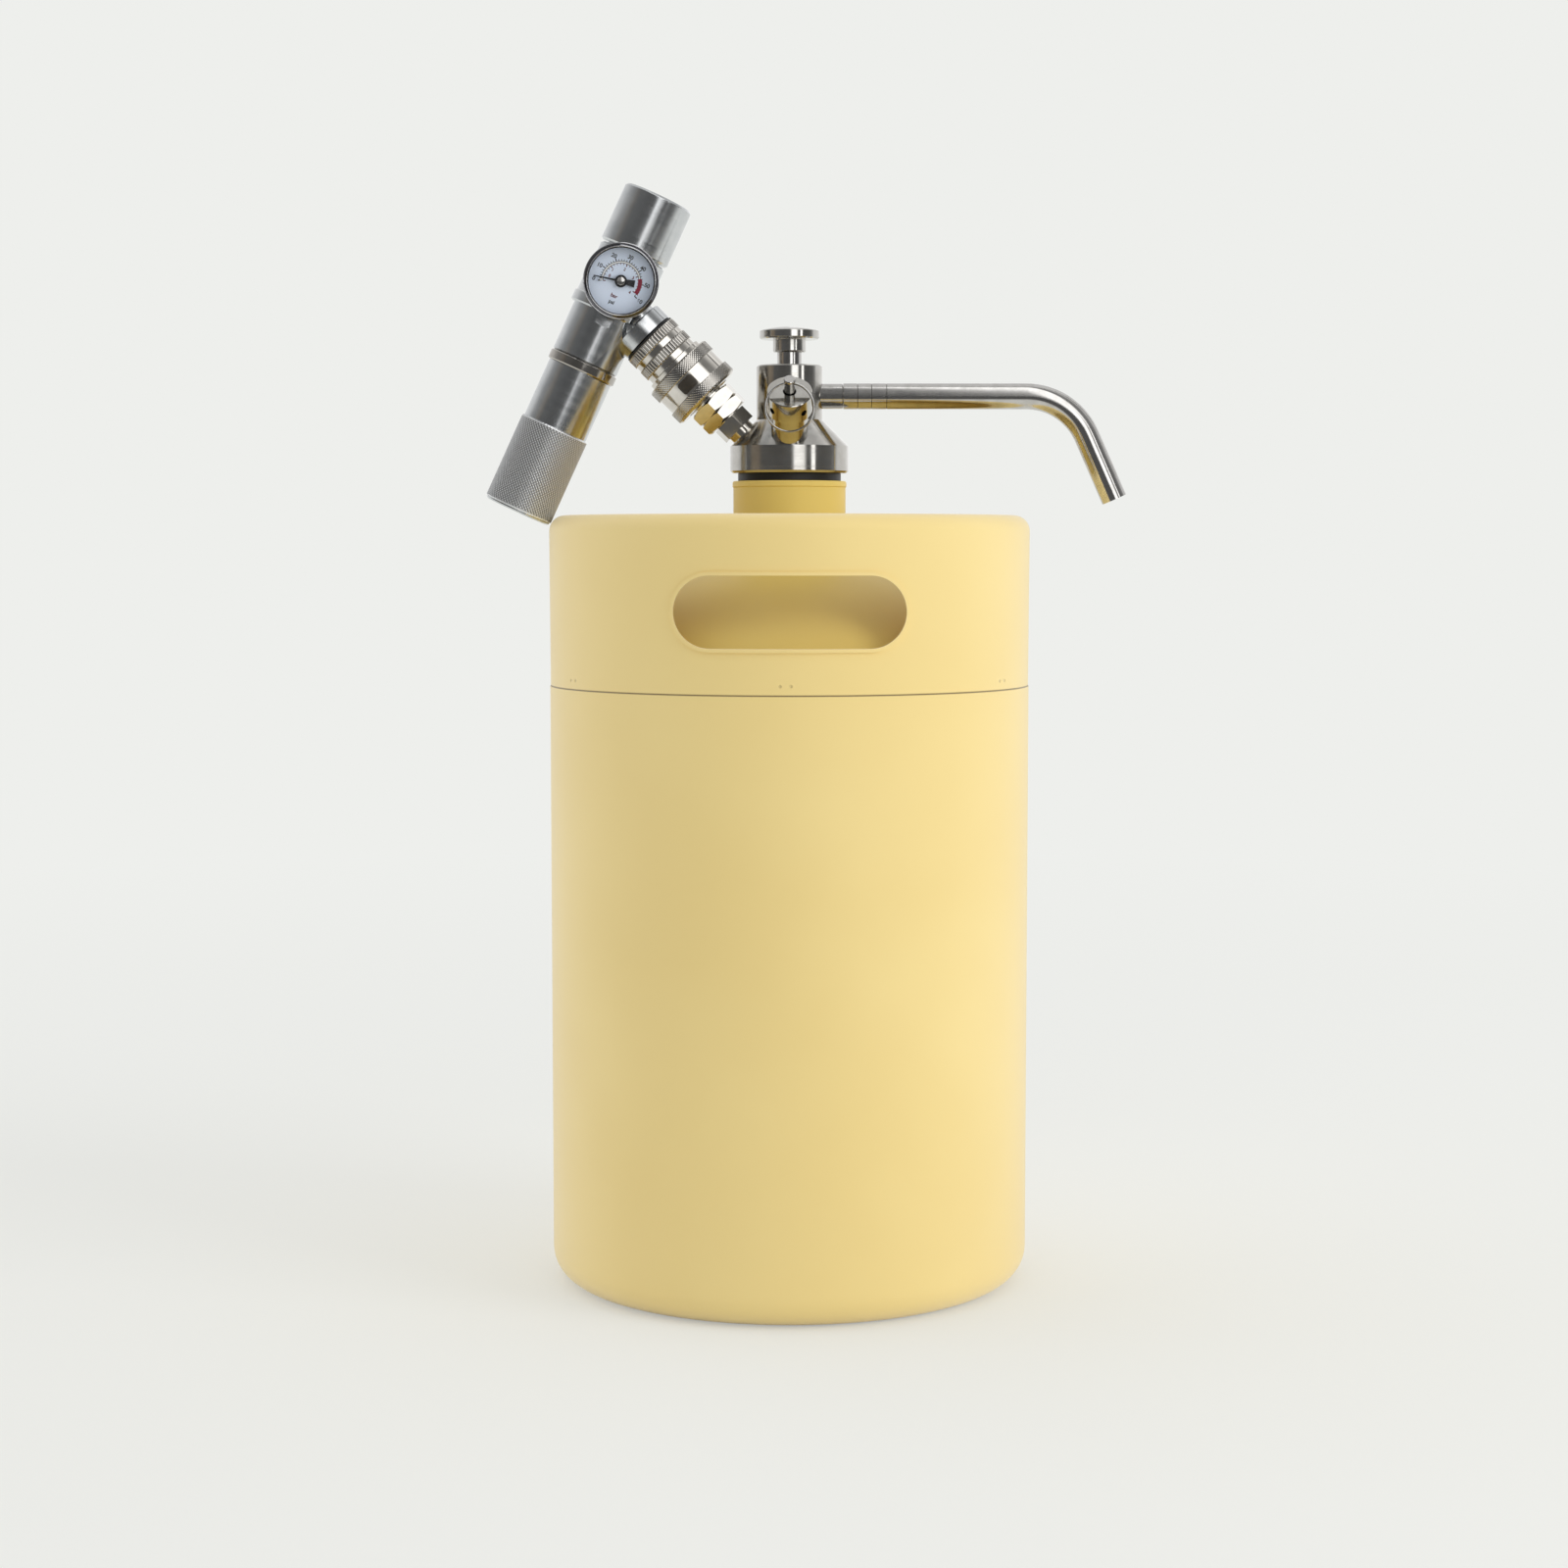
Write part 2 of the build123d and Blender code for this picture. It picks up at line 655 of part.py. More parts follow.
stub_end = tower_r + stub_len
with BuildPart() as outlet_stub:
    turn(spout_frame, (spigot_r + shaft_gap, tower_r - stub_socket), (stub_r, tower_r - stub_socket),
         (stub_r, stub_end - edge / 2), (stub_r - edge / 2, stub_end), (spigot_r + shaft_gap, stub_end))
outlet_stub.part.label = "outlet_stub"
export_step(outlet_stub.part, "parts/outlet_stub.step")

# ---- Plunger
hub_z = tower_top + knob_gap
disc_z = hub_z + hub_h
plug_top = seat_z
plug_low = plug_top - plug_t
with BuildPart() as plunger_stem:
    turn(upright, (0, plug_low - flange_t), (flange_r, plug_low - flange_t), (flange_r, plug_low),
         (stem_neck_r, plug_low), (stem_neck_r, outlet_top - edge), (stem_r, outlet_top),
         (stem_r, hub_z), (stem_spigot_r, hub_z), (stem_spigot_r, disc_z + edge), (0, disc_z + edge))
plunger_stem.part.label = "plunger_stem"
export_step(plunger_stem.part, "parts/plunger_stem.step")

with BuildPart() as plunger_knob:
    with BuildSketch(Plane.XZ):
        with BuildLine():
            rim_z = disc_z + disc_h
            Polyline((0, disc_z + edge + weld_gap), (stem_spigot_r + weld_gap, disc_z + edge + weld_gap),
                     (stem_spigot_r + weld_gap, hub_z), (hub_r - edge, hub_z), (hub_r, hub_z + edge),
                     (hub_r, disc_z), (disc_r - edge, disc_z), (disc_r, disc_z + edge),
                     (disc_r, rim_z - edge / 2), (disc_r - edge, rim_z))
            RadiusArc((disc_r - edge, rim_z), (0, rim_z + disc_crown),
                      -((disc_r - edge) ** 2 + disc_crown ** 2) / (2 * disc_crown))
            Line((0, rim_z + disc_crown), (0, disc_z + edge + weld_gap))
        make_face()
    revolve(axis=Axis.Z)
plunger_knob.part.label = "plunger_knob"
export_step(plunger_knob.part, "parts/plunger_knob.step")

with BuildPart() as valve_plug:
    turn(upright, (stem_neck_r + weld_gap, plug_low), (flange_r, plug_low),
         (plug_r, plug_low + plug_t / 3), (plug_r, plug_top), (stem_neck_r + weld_gap, plug_top))
valve_plug.part.label = "valve_plug"
export_step(valve_plug.part, "parts/valve_plug.step")

with BuildPart() as plunger_spring:
    coil(upright, plunger_coil_r, plunger_wire_r, holder_top + face_gap, plug_low - flange_t - face_gap,
         plunger_turns)
plunger_spring.part.label = "plunger_spring"
export_step(plunger_spring.part, "parts/plunger_spring.step")

# ---- Spout
root_x = stub_end + face_gap
bend_x = root_x + spout_straight
with BuildPart() as spout_tube:
    bend_centre = Vector(bend_x, 0, spout_z - spout_bend_r)
    turn_axis = Axis(bend_centre, (0, 1, 0))
    turn(spout_frame, (spout_bore_r, root_x), (spout_r - edge / 2, root_x), (spout_r, root_x + edge / 2),
         (spout_r, bend_x), (spout_bore_r, bend_x))
    with BuildSketch(cross_plane(spout_frame, bend_x)) as ring_section:
        Circle(spout_r)
        Circle(spout_bore_r, mode=Mode.SUBTRACT)
    revolve(ring_section.sketch.faces(), axis=turn_axis, revolution_arc=spout_bend)
    mouth = ring_section.sketch.faces()[0].rotate(turn_axis, spout_bend)
    drop_dir = Vector(cos(radians(spout_bend)), 0, -sin(radians(spout_bend)))
    extrude(mouth, amount=spout_drop, dir=drop_dir)
    for place in ring_places:
        ring_at = root_x + place
        turn(spout_frame, (spout_r - ring_deep, ring_at), (spout_r + ring_deep, ring_at - ring_w / 2),
             (spout_r + ring_deep, ring_at + ring_w / 2), mode=Mode.SUBTRACT)
    spigot_root = root_x - spigot_len
    turn(spout_frame, (spigot_r - tube_wall * 2, spigot_root), (spigot_r, spigot_root),
         (spigot_r, root_x), (spout_bore_r + edge, root_x + edge),
         (spigot_r - tube_wall * 2, root_x + edge))
    seal_x = root_x - spigot_len / 2
    turn(spout_frame, (spigot_r - tube_wall, seal_x - seal_wire_r),
         (spigot_r + edge, seal_x - seal_wire_r), (spigot_r + edge, seal_x + seal_wire_r),
         (spigot_r - tube_wall, seal_x + seal_wire_r), mode=Mode.SUBTRACT)
spout_tube.part.label = "spout_tube"
export_step(spout_tube.part, "parts/spout_tube.step")

# ---- Relief valve
valve_low = -valve_seat_depth
valve_floor = valve_low + valve_seat_t
cap_base = valve_h
cap_top = valve_h + cap_h
with BuildPart() as relief_body:
    turn(relief_frame, (valve_hole_r, valve_low - valve_spigot + edge),
         (valve_spigot_r, valve_low - valve_spigot + edge), (valve_spigot_r, valve_low),
         (valve_r, valve_low), (valve_r, cap_base), (valve_neck_r, cap_base),
         (valve_neck_r, cap_base + valve_neck_h), (valve_chamber_r, cap_base + valve_neck_h),
         (valve_chamber_r, valve_floor), (valve_hole_r, valve_floor))
relief_body.part.label = "relief_body"
export_step(relief_body.part, "parts/relief_body.step")

with BuildPart() as relief_cap:
    turn(relief_frame, (valve_neck_r + weld_gap, cap_base), (cap_out_r, cap_base),
         (cap_out_r, cap_top - edge / 2), (cap_out_r - edge / 2, cap_top), (pin_hole_r, cap_top),
         (pin_hole_r, cap_top - cap_top_t), (valve_neck_r + weld_gap, cap_top - cap_top_t))
    with BuildSketch(relief_frame.offset(-2 * cap_out_r)) as vents:
        with Locations((0, cap_top - vent_drop)):
            Circle(vent_r)
    drill = extrude(vents.sketch.faces(), amount=4 * cap_out_r, mode=Mode.PRIVATE)
    vent_axis = Axis(relief_frame.origin, relief_frame.y_dir)
    for quarter in (45, 135):
        add(drill.rotate(vent_axis, quarter + vent_turn), mode=Mode.SUBTRACT)
relief_cap.part.label = "relief_cap"
export_step(relief_cap.part, "parts/relief_cap.step")

poppet_low = valve_floor + disc_seal_t
poppet_top = poppet_low + poppet_t
pin_top = cap_top + pin_out
eye_at = cap_top + eye_rise
with BuildPart() as relief_pin:
    turn(relief_frame, (0, poppet_low), (poppet_r, poppet_low), (poppet_r, poppet_top),
         (pin_r, poppet_top), (pin_r, pin_top - pin_head_h),
         (pin_head_r, pin_top - pin_head_h + edge / 2), (pin_head_r, pin_top - edge / 2),
         (pin_head_r - edge / 2, pin_top), (0, pin_top))
    eye_centre = relief_frame.origin + relief_frame.y_dir * eye_at
    eye_frame = axis_frame(eye_centre, (1, 0, 0), (0, 0, 1))
    bore(eye_frame, eye_r, -2 * pin_r, 2 * pin_r)
relief_pin.part.label = "relief_pin"
export_step(relief_pin.part, "parts/relief_pin.step")

with BuildPart() as relief_seal:
    turn(relief_frame, (0, valve_floor), (disc_seal_r, valve_floor), (disc_seal_r, poppet_low),
         (0, poppet_low))
relief_seal.part.label = "relief_seal"
export_step(relief_seal.part, "parts/relief_seal.step")

with BuildPart() as relief_spring:
    coil(relief_frame, relief_coil_r, relief_wire_r, poppet_top + weld_gap,
         cap_top - cap_top_t - weld_gap, relief_turns)
relief_spring.part.label = "relief_spring"
export_step(relief_spring.part, "parts/relief_spring.step")

ring_mean_r = ring_out_r - ring_wire_r
ring_pitch = 2 * ring_wire_r + ring_turn_gap
hang = Vector(0, -sin(radians(ring_lean)), -cos(radians(ring_lean)))
ring_normal = Vector(0, -cos(radians(ring_lean)), sin(radians(ring_lean)))
ring_centre = eye_centre + hang * ring_mean_r
ring_frame = Plane(origin=ring_centre, x_dir=hang * -1, z_dir=ring_normal)
with BuildPart() as pull_ring:
    with BuildLine(mode=Mode.PRIVATE) as ring_path:
        Helix(ring_pitch, 2 * ring_pitch, ring_mean_r)
    ring_wire = ring_path.line.moved(ring_frame.offset(-ring_pitch).location)
    ring_wire = ring_wire.rotate(Axis(ring_centre, ring_normal), 90)
    with BuildSketch(Plane(origin=ring_wire @ 0, z_dir=ring_wire % 0)) as ring_round:
        Circle(ring_wire_r)
    sweep(ring_round.sketch.faces(), path=ring_wire, is_frenet=True)
pull_ring.part.label = "pull_ring"
export_step(pull_ring.part, "parts/pull_ring.step")

# ---- Gas line and quick coupler
with BuildPart() as gas_post:
    turn(gas_frame, (0, -valve_seat_depth - post_spigot + edge),
         (post_spigot_r, -valve_seat_depth - post_spigot + edge), (post_spigot_r, -valve_seat_depth),
         (post_neck_r, -valve_seat_depth), (post_neck_r, post_neck_end + edge),
         (0, post_neck_end + edge))
    hexagon(gas_frame, post_hex, post_neck_end, post_hex_end, post_turn)
    turn(gas_frame, (0, post_hex_end), (post_thread_r, post_hex_end), (post_thread_r, post_end - edge),
         (post_thread_r - edge, post_end), (0, post_end))
    bore(gas_frame, gas_bore_r, -valve_seat_depth - post_spigot, post_end)
gas_post.part.label = "gas_post"
export_step(gas_post.part, "parts/gas_post.step")

nipple_flange_at = post_end + weld_gap
nut_front = post_hex_end + nut_gap
with BuildPart() as gas_nut:
    hexagon(gas_frame, nut_hex, nut_front, nut_end, nut_turn)
    hex_corner_cut(gas_frame, nut_hex, nut_front, nut_end)
    hex_corner = nut_hex / sqrt(3)
    turn(gas_frame, (nut_hex / 2, nut_groove_at), (hex_corner + edge, nut_groove_at - nut_groove),
         (hex_corner + edge, nut_groove_at + nut_groove), mode=Mode.SUBTRACT)
    bore(gas_frame, post_thread_r + weld_gap, nut_front,
         nipple_flange_at + nipple_flange_t + weld_gap)
    bore(gas_frame, nipple_body_r + weld_gap, nipple_flange_at, nut_end)
gas_nut.part.label = "gas_nut"
export_step(gas_nut.part, "parts/gas_nut.step")

groove_front = ball_at - ball_groove_half
groove_back = ball_at + ball_groove_half
groove_deep = plug_out_r - ball_groove_r
with BuildPart() as plug_nipple:
    turn(gas_frame, (gas_bore_r, nipple_flange_at), (nipple_flange_r, nipple_flange_at),
         (nipple_flange_r, nipple_flange_at + nipple_flange_t),
         (nipple_body_r, nipple_flange_at + nipple_flange_t), (nipple_body_r, nut_end),
         (nipple_collar_r, nut_end), (nipple_collar_r, nipple_collar_end),
         (plug_out_r, nipple_collar_end), (plug_out_r, groove_front),
         (ball_groove_r, groove_front + groove_deep / 4),
         (ball_groove_r, groove_back - groove_deep / 4), (plug_out_r, groove_back),
         (plug_out_r, plug_land_end), (plug_tip_r, plug_land_end + plug_out_r - plug_tip_r),
         (plug_tip_r, plug_end), (gas_bore_r, plug_end))
plug_nipple.part.label = "plug_nipple"
export_step(plug_nipple.part, "parts/plug_nipple.step")

socket_r = plug_out_r + shaft_gap
seal_room_end = plug_end + 2 * face_gap
with BuildPart() as coupler_body:
    turn(gas_frame, (socket_r, body_front), (body_out_r - edge, body_front),
         (body_out_r, body_front + edge), (body_out_r, stop_ring_back - ring_groove_t),
         (ring_groove_r, stop_ring_back - ring_groove_t), (ring_groove_r, stop_ring_back),
         (body_out_r, stop_ring_back), (body_out_r, flange_front),
         (coupler_flange_r - edge / 2, flange_front), (coupler_flange_r, flange_front + edge / 2),
         (coupler_flange_r, tail_front - edge / 2), (coupler_flange_r - edge / 2, tail_front),
         (coupler_spigot_r, tail_front), (coupler_spigot_r, coupler_spigot_end),
         (gas_bore_r, coupler_spigot_end), (gas_bore_r, seal_room_end), (socket_r, seal_room_end))
    ball_plane = cross_plane(gas_frame, ball_at)
    ball_angles = [index * 360 / ball_count for index in range(ball_count)]
    for angle in ball_angles:
        outward = ball_plane.x_dir.rotate(Axis((0, 0, 0), ball_plane.z_dir), angle)
        ball_frame = axis_frame(ball_plane.origin, outward, ball_plane.z_dir)
        bore(ball_frame, ball_r + weld_gap, socket_r / 2, body_out_r + edge)
coupler_body.part.label = "coupler_body"
export_step(coupler_body.part, "parts/coupler_body.step")

ball_orbit = ball_groove_r + ball_r + face_gap / 2
with BuildPart() as coupler_balls:
    for angle in ball_angles:
        outward = ball_plane.x_dir.rotate(Axis((0, 0, 0), ball_plane.z_dir), angle)
        with Locations(ball_plane.origin + outward * ball_orbit):
            Sphere(ball_r)
coupler_balls.part.label = "coupler_balls"
export_step(coupler_balls.part, "parts/coupler_balls.step")

plug_seal_r = (plug_out_r - plug_tip_r + shaft_gap) / 2 - weld_gap / 2
with BuildPart() as coupler_seal:
    seal_ring(gas_frame, plug_tip_r + weld_gap / 2 + plug_seal_r, plug_seal_r, plug_end - plug_seal_r)
coupler_seal.part.label = "coupler_seal"
export_step(coupler_seal.part, "parts/coupler_seal.step")

with BuildPart() as stop_ring:
    turn(gas_frame, (ring_groove_r + weld_gap, stop_ring_back - ring_groove_t + weld_gap),
         (stop_ring_r, stop_ring_back - ring_groove_t + weld_gap),
         (stop_ring_r, stop_ring_back - weld_gap),
         (ring_groove_r + weld_gap, stop_ring_back - weld_gap))
    with BuildSketch(cross_plane(gas_frame, stop_ring_back - 2 * ring_groove_t)):
        with Locations((stop_ring_r, 0)):
            Rectangle(stop_ring_r, 2 * ring_groove_t)
    extrude(amount=3 * ring_groove_t, mode=Mode.SUBTRACT)
stop_ring.part.label = "stop_ring"
export_step(stop_ring.part, "parts/stop_ring.step")

cam_front = stop_ring_back + face_gap
cam_r = body_out_r + slide_gap
sleeve_rear_r = coupler_flange_r + slide_gap
with BuildPart() as coupler_sleeve:
    turn(gas_frame, (cam_r, sleeve_front), (sleeve_r - 2 * edge, sleeve_front),
         (sleeve_r, sleeve_front + 2 * edge), (sleeve_r, band_front), (sleeve_band_r, band_front),
         (sleeve_band_r, band_back), (sleeve_r, band_back), (sleeve_r, sleeve_back - edge),
         (sleeve_r - edge, sleeve_back), (sleeve_rear_r, sleeve_back), (sleeve_rear_r, cam_back),
         (cam_r, cam_back), (cam_r, cam_front), (sleeve_room_r, cam_front),
         (sleeve_room_r, sleeve_front + sleeve_lip), (cam_r, sleeve_front + sleeve_lip))
    badge_side = gas_frame.x_dir.rotate(Axis((0, 0, 0), gas_frame.y_dir), badge_turn)
    badge_frame = axis_frame(gas_frame.origin, gas_frame.y_dir, badge_side)
    with BuildSketch(badge_frame.offset(sleeve_band_r - badge_deep)):
        with Locations((0, (band_front + band_back) / 2)):
            RectangleRounded(badge_w, badge_h, edge)
    extrude(amount=1, mode=Mode.SUBTRACT)
coupler_sleeve.part.label = "coupler_sleeve"
export_step(coupler_sleeve.part, "parts/coupler_sleeve.step")

with BuildPart() as coupler_spring:
    coil(gas_frame, coupler_coil_r, coupler_wire_r, cam_back + weld_gap, flange_front - weld_gap,
         coupler_turns)
coupler_spring.part.label = "coupler_spring"
export_step(coupler_spring.part, "parts/coupler_spring.step")

band_1, band_2, band_3, band_4 = tail_bands
with BuildPart() as coupler_tail:
    turn(gas_frame, (coupler_spigot_r + weld_gap, tail_front), (tail_r - edge, tail_front),
         (tail_r - edge, band_1), (tail_r, band_1), (tail_r, band_2), (tail_groove_r, band_2),
         (tail_groove_r, band_3), (tail_r, band_3), (tail_r, band_4), (tail_groove_r, tail_end),
         (tail_spigot_r, tail_end), (tail_spigot_r, tail_end + tail_spigot),
         (gas_bore_r, tail_end + tail_spigot), (gas_bore_r, coupler_spigot_end),
         (coupler_spigot_r + weld_gap, coupler_spigot_end))
coupler_tail.part.label = "coupler_tail"
export_step(coupler_tail.part, "parts/coupler_tail.step")

boss_front = tail_end + boss_seal_t
with BuildPart() as boss_seal:
    turn(gas_frame, (tail_spigot_r + slide_gap, tail_end + weld_gap), (boss_seal_r, tail_end + weld_gap),
         (boss_seal_r, boss_front - weld_gap), (tail_spigot_r + slide_gap, boss_front - weld_gap))
boss_seal.part.label = "boss_seal"
export_step(boss_seal.part, "parts/boss_seal.step")

# ---- Regulator
with BuildPart() as regulator_body:
    turn(barrel_frame, (0, lower_bottom), (lower_r - edge, lower_bottom),
         (lower_r, lower_bottom + edge), (lower_r, collar_band_bottom),
         (collar_band_r - band_chamfer, collar_band_bottom),
         (collar_band_r, collar_band_bottom + band_chamfer),
         (collar_band_r, waist_bottom - band_chamfer), (collar_band_r - band_chamfer, waist_bottom),
         (waist_r, waist_bottom), (waist_r, waist_top), (block_r, waist_top + band_chamfer),
         (block_r, block_top - band_chamfer), (block_r - band_chamfer, block_top),
         (neck_thread_r, block_top), (neck_thread_r, neck_thread_top), (0, neck_thread_top))
    turn(gas_frame, (0, boss_front), (boss_r - edge, boss_front),
         (boss_r, boss_front + edge), (boss_r, boss_end - edge), (boss_r - edge, boss_end),
         (boss_root_r, boss_end), (boss_root_r, barrel_at), (0, barrel_at))
    bore(barrel_frame, spring_room_r, spring_room_floor, neck_thread_top)
    bore(barrel_frame, low_room_r, low_room_floor, spring_room_floor)
    bore(barrel_frame, passage_r, poppet_room_top, low_room_floor)
    bore(barrel_frame, poppet_room_r, poppet_room_floor, poppet_room_top)
    bore(barrel_frame, passage_r, seal_pocket_floor, poppet_room_floor)
    bore(barrel_frame, seal_pocket_r, cartridge_bore_top, seal_pocket_floor)
    bore(barrel_frame, cartridge_bore_r, lower_bottom, cartridge_bore_top)
    bore(gas_frame, tail_spigot_r + weld_gap, tail_end, tail_end + tail_spigot + weld_gap)
    bore(gas_frame, gas_bore_r, tail_end, barrel_at)
    bore(gauge_frame, gauge_stem_r + weld_gap, gauge_stem_in - weld_gap, block_r + edge)
    bore(gauge_frame, gas_bore_r, 0, gauge_stem_in)
    bore(gauge_frame, flat_r, lower_r - flat_deep, lower_r + block_r)
regulator_body.part.label = "regulator_body"
export_step(regulator_body.part, "parts/regulator_body.step")

with BuildPart() as end_ring:
    ring_low = lower_bottom - end_ring_t
    turn(barrel_frame, (cartridge_bore_r, ring_low), (end_ring_r - edge, ring_low),
         (end_ring_r, ring_low + edge), (end_ring_r, lower_bottom - edge),
         (end_ring_r - edge, lower_bottom - weld_gap), (cartridge_bore_r, lower_bottom - weld_gap))
end_ring.part.label = "end_ring"
export_step(end_ring.part, "parts/end_ring.step")

poppet_seat = poppet_room_top - piston_travel
with BuildPart() as regulator_poppet:
    turn(barrel_frame, (0, poppet_room_floor + weld_gap),
         (poppet_room_r - slide_gap, poppet_room_floor + weld_gap),
         (poppet_room_r - slide_gap, poppet_seat - edge), (passage_r, poppet_seat - weld_gap),
         (passage_r / 2, poppet_seat - weld_gap), (passage_r / 2, spring_room_floor),
         (0, spring_room_floor))
regulator_poppet.part.label = "regulator_poppet"
export_step(regulator_poppet.part, "parts/regulator_poppet.step")

piston_low = spring_room_floor + weld_gap
piston_top = piston_low + piston_t
piston_r = spring_room_r - shaft_gap
piston_mid = (piston_low + piston_top) / 2
with BuildPart() as regulator_piston:
    turn(barrel_frame, (0, piston_low), (piston_r, piston_low),
         (piston_r, piston_mid - piston_seal_wire),
         (piston_r - 2 * piston_seal_wire, piston_mid - piston_seal_wire),
         (piston_r - 2 * piston_seal_wire, piston_mid + piston_seal_wire),
         (piston_r, piston_mid + piston_seal_wire), (piston_r, piston_top), (0, piston_top))
regulator_piston.part.label = "regulator_piston"
export_step(regulator_piston.part, "parts/regulator_piston.step")

with BuildPart() as piston_seal:
    seal_ring(barrel_frame, piston_r - piston_seal_wire, piston_seal_wire - weld_gap / 2, piston_mid)
piston_seal.part.label = "piston_seal"
export_step(piston_seal.part, "parts/piston_seal.step")

spring_top = knob_bottom + spring_disc_t
with BuildPart() as regulator_spring:
    coil(barrel_frame, spring_coil_r, spring_wire_r, piston_top + weld_gap, spring_top - weld_gap,
         spring_turns)
regulator_spring.part.label = "regulator_spring"
export_step(regulator_spring.part, "parts/regulator_spring.step")

with BuildPart() as spring_disc:
    turn(barrel_frame, (0, spring_top), (spring_room_r - slide_gap, spring_top),
         (spring_room_r - slide_gap, spring_top + spring_disc_t), (0, spring_top + spring_disc_t))
spring_disc.part.label = "spring_disc"
export_step(spring_disc.part, "parts/spring_disc.step")

knob_bore_r = neck_thread_r + slide_gap
knob_room_top = knob_top - knob_wall_top
with BuildPart() as adjusting_knob:
    turn(barrel_frame, (knob_bore_r, knob_bottom), (knob_r - knob_chamfer, knob_bottom),
         (knob_r, knob_bottom + knob_chamfer), (knob_r, knob_top - knob_chamfer),
         (knob_r - knob_chamfer, knob_top), (0, knob_top), (0, knob_room_top),
         (knob_bore_r, knob_room_top))
adjusting_knob.part.label = "adjusting_knob"
export_step(adjusting_knob.part, "parts/adjusting_knob.step")

with BuildPart() as adjusting_screw:
    screw_low = spring_top + spring_disc_t + face_gap
    turn(barrel_frame, (0, screw_low), (screw_r - edge, screw_low), (screw_r, screw_low + edge),
         (screw_r, knob_room_top), (0, knob_room_top))
adjusting_screw.part.label = "adjusting_screw"
export_step(adjusting_screw.part, "parts/adjusting_screw.step")

seal_low = cartridge_bore_top - 4 * weld_gap
with BuildPart() as cartridge_seal:
    turn(barrel_frame, (pierce_hole_r, seal_low), (seal_pocket_r - weld_gap, seal_low),
         (seal_pocket_r - weld_gap, seal_pocket_floor), (pierce_hole_r, seal_pocket_floor))
cartridge_seal.part.label = "cartridge_seal"
export_step(cartridge_seal.part, "parts/cartridge_seal.step")

pin_low = cartridge_bore_top - pierce_tip
with BuildPart() as pierce_pin:
    turn(barrel_frame, (0, pin_low), (pierce_r, pin_low + 2 * pierce_r), (pierce_r, seal_pocket_floor),
         (passage_r - weld_gap, seal_pocket_floor),
         (passage_r - weld_gap, seal_pocket_floor + 2 * passage_r),
         (0, seal_pocket_floor + 2 * passage_r))
pierce_pin.part.label = "pierce_pin"
export_step(pierce_pin.part, "parts/pierce_pin.step")

# ---- Cartridge and its sleeve
cartridge_top = seal_low - face_gap
cavity_r = cartridge_r + cartridge_gap
cavity_floor = barrel_end + cartridge_floor_t
spigot_out_r = cartridge_bore_r - slide_gap
with BuildPart() as cartridge_sleeve:
    turn(barrel_frame, (0, barrel_end), (sleeve_rim_r - edge, barrel_end),
         (sleeve_rim_r, barrel_end + edge), (sleeve_rim_r, grip_bottom), (grip_r - edge, grip_bottom),
         (grip_r, grip_bottom + edge), (grip_r, grip_top - edge), (grip_r - edge, grip_top),
         (sleeve_plain_r, grip_top), (sleeve_plain_r, ring_low - face_gap),
         (spigot_out_r, ring_low - face_gap), (spigot_out_r, cartridge_bore_top - edge),
         (cavity_r, cartridge_bore_top - edge), (cavity_r, cavity_floor), (0, cavity_floor))
cartridge_sleeve.part.label = "cartridge_sleeve"
export_step(cartridge_sleeve.part, "parts/cartridge_sleeve.step")

cartridge_low = cavity_floor + face_gap
neck_low_b = cartridge_top - cartridge_neck


def bottle_face(inset):
    """The half section of the cartridge's outside, or of its cavity when inset by the wall."""
    shoulder_top = neck_low_b - inset / 2
    side_top = neck_low_b - cartridge_shoulder - inset / 2
    side_r = cartridge_r - inset
    with BuildSketch(barrel_frame) as section:
        with BuildLine():
            Line((0, cartridge_top - 2 * inset), (cartridge_neck_r - inset, cartridge_top - 2 * inset))
            Line((cartridge_neck_r - inset, cartridge_top - 2 * inset),
                 (cartridge_neck_r - inset, shoulder_top))
            Line((cartridge_neck_r - inset, shoulder_top), (side_r, side_top))
            Line((side_r, side_top), (side_r, cartridge_low + cartridge_r))
            RadiusArc((side_r, cartridge_low + cartridge_r), (0, cartridge_low + inset), side_r)
            Line((0, cartridge_low + inset), (0, cartridge_top - 2 * inset))
        make_face()
    return section.sketch.faces()


barrel_axis = Axis(barrel_frame.origin, barrel_frame.y_dir)
with BuildPart() as co2_cartridge:
    revolve(bottle_face(0), axis=barrel_axis)
    revolve(bottle_face(cartridge_wall), axis=barrel_axis, mode=Mode.SUBTRACT)
    bore(barrel_frame, pierce_hole_r, pin_low - edge, cartridge_top)
co2_cartridge.part.label = "co2_cartridge"
export_step(co2_cartridge.part, "parts/co2_cartridge.step")

# ---- Gauge
with BuildPart() as gauge_stem:
    turn(gauge_frame, (0, gauge_stem_in), (gauge_stem_r, gauge_stem_in), (gauge_stem_r, lower_r),
         (0, lower_r))
    hexagon(gauge_frame, gauge_hex, lower_r - flat_deep + weld_gap, case_back - weld_gap)
    turn(gauge_frame, (0, case_back - edge), (gas_bore_r + edge, case_back - edge),
         (gas_bore_r + edge, case_back + case_wall + bourdon_tube_r),
         (0, case_back + case_wall + bourdon_tube_r))
    bore(gauge_frame, gas_bore_r / 2, gauge_stem_in, case_back + case_wall)
gauge_stem.part.label = "gauge_stem"
export_step(gauge_stem.part, "parts/gauge_stem.step")

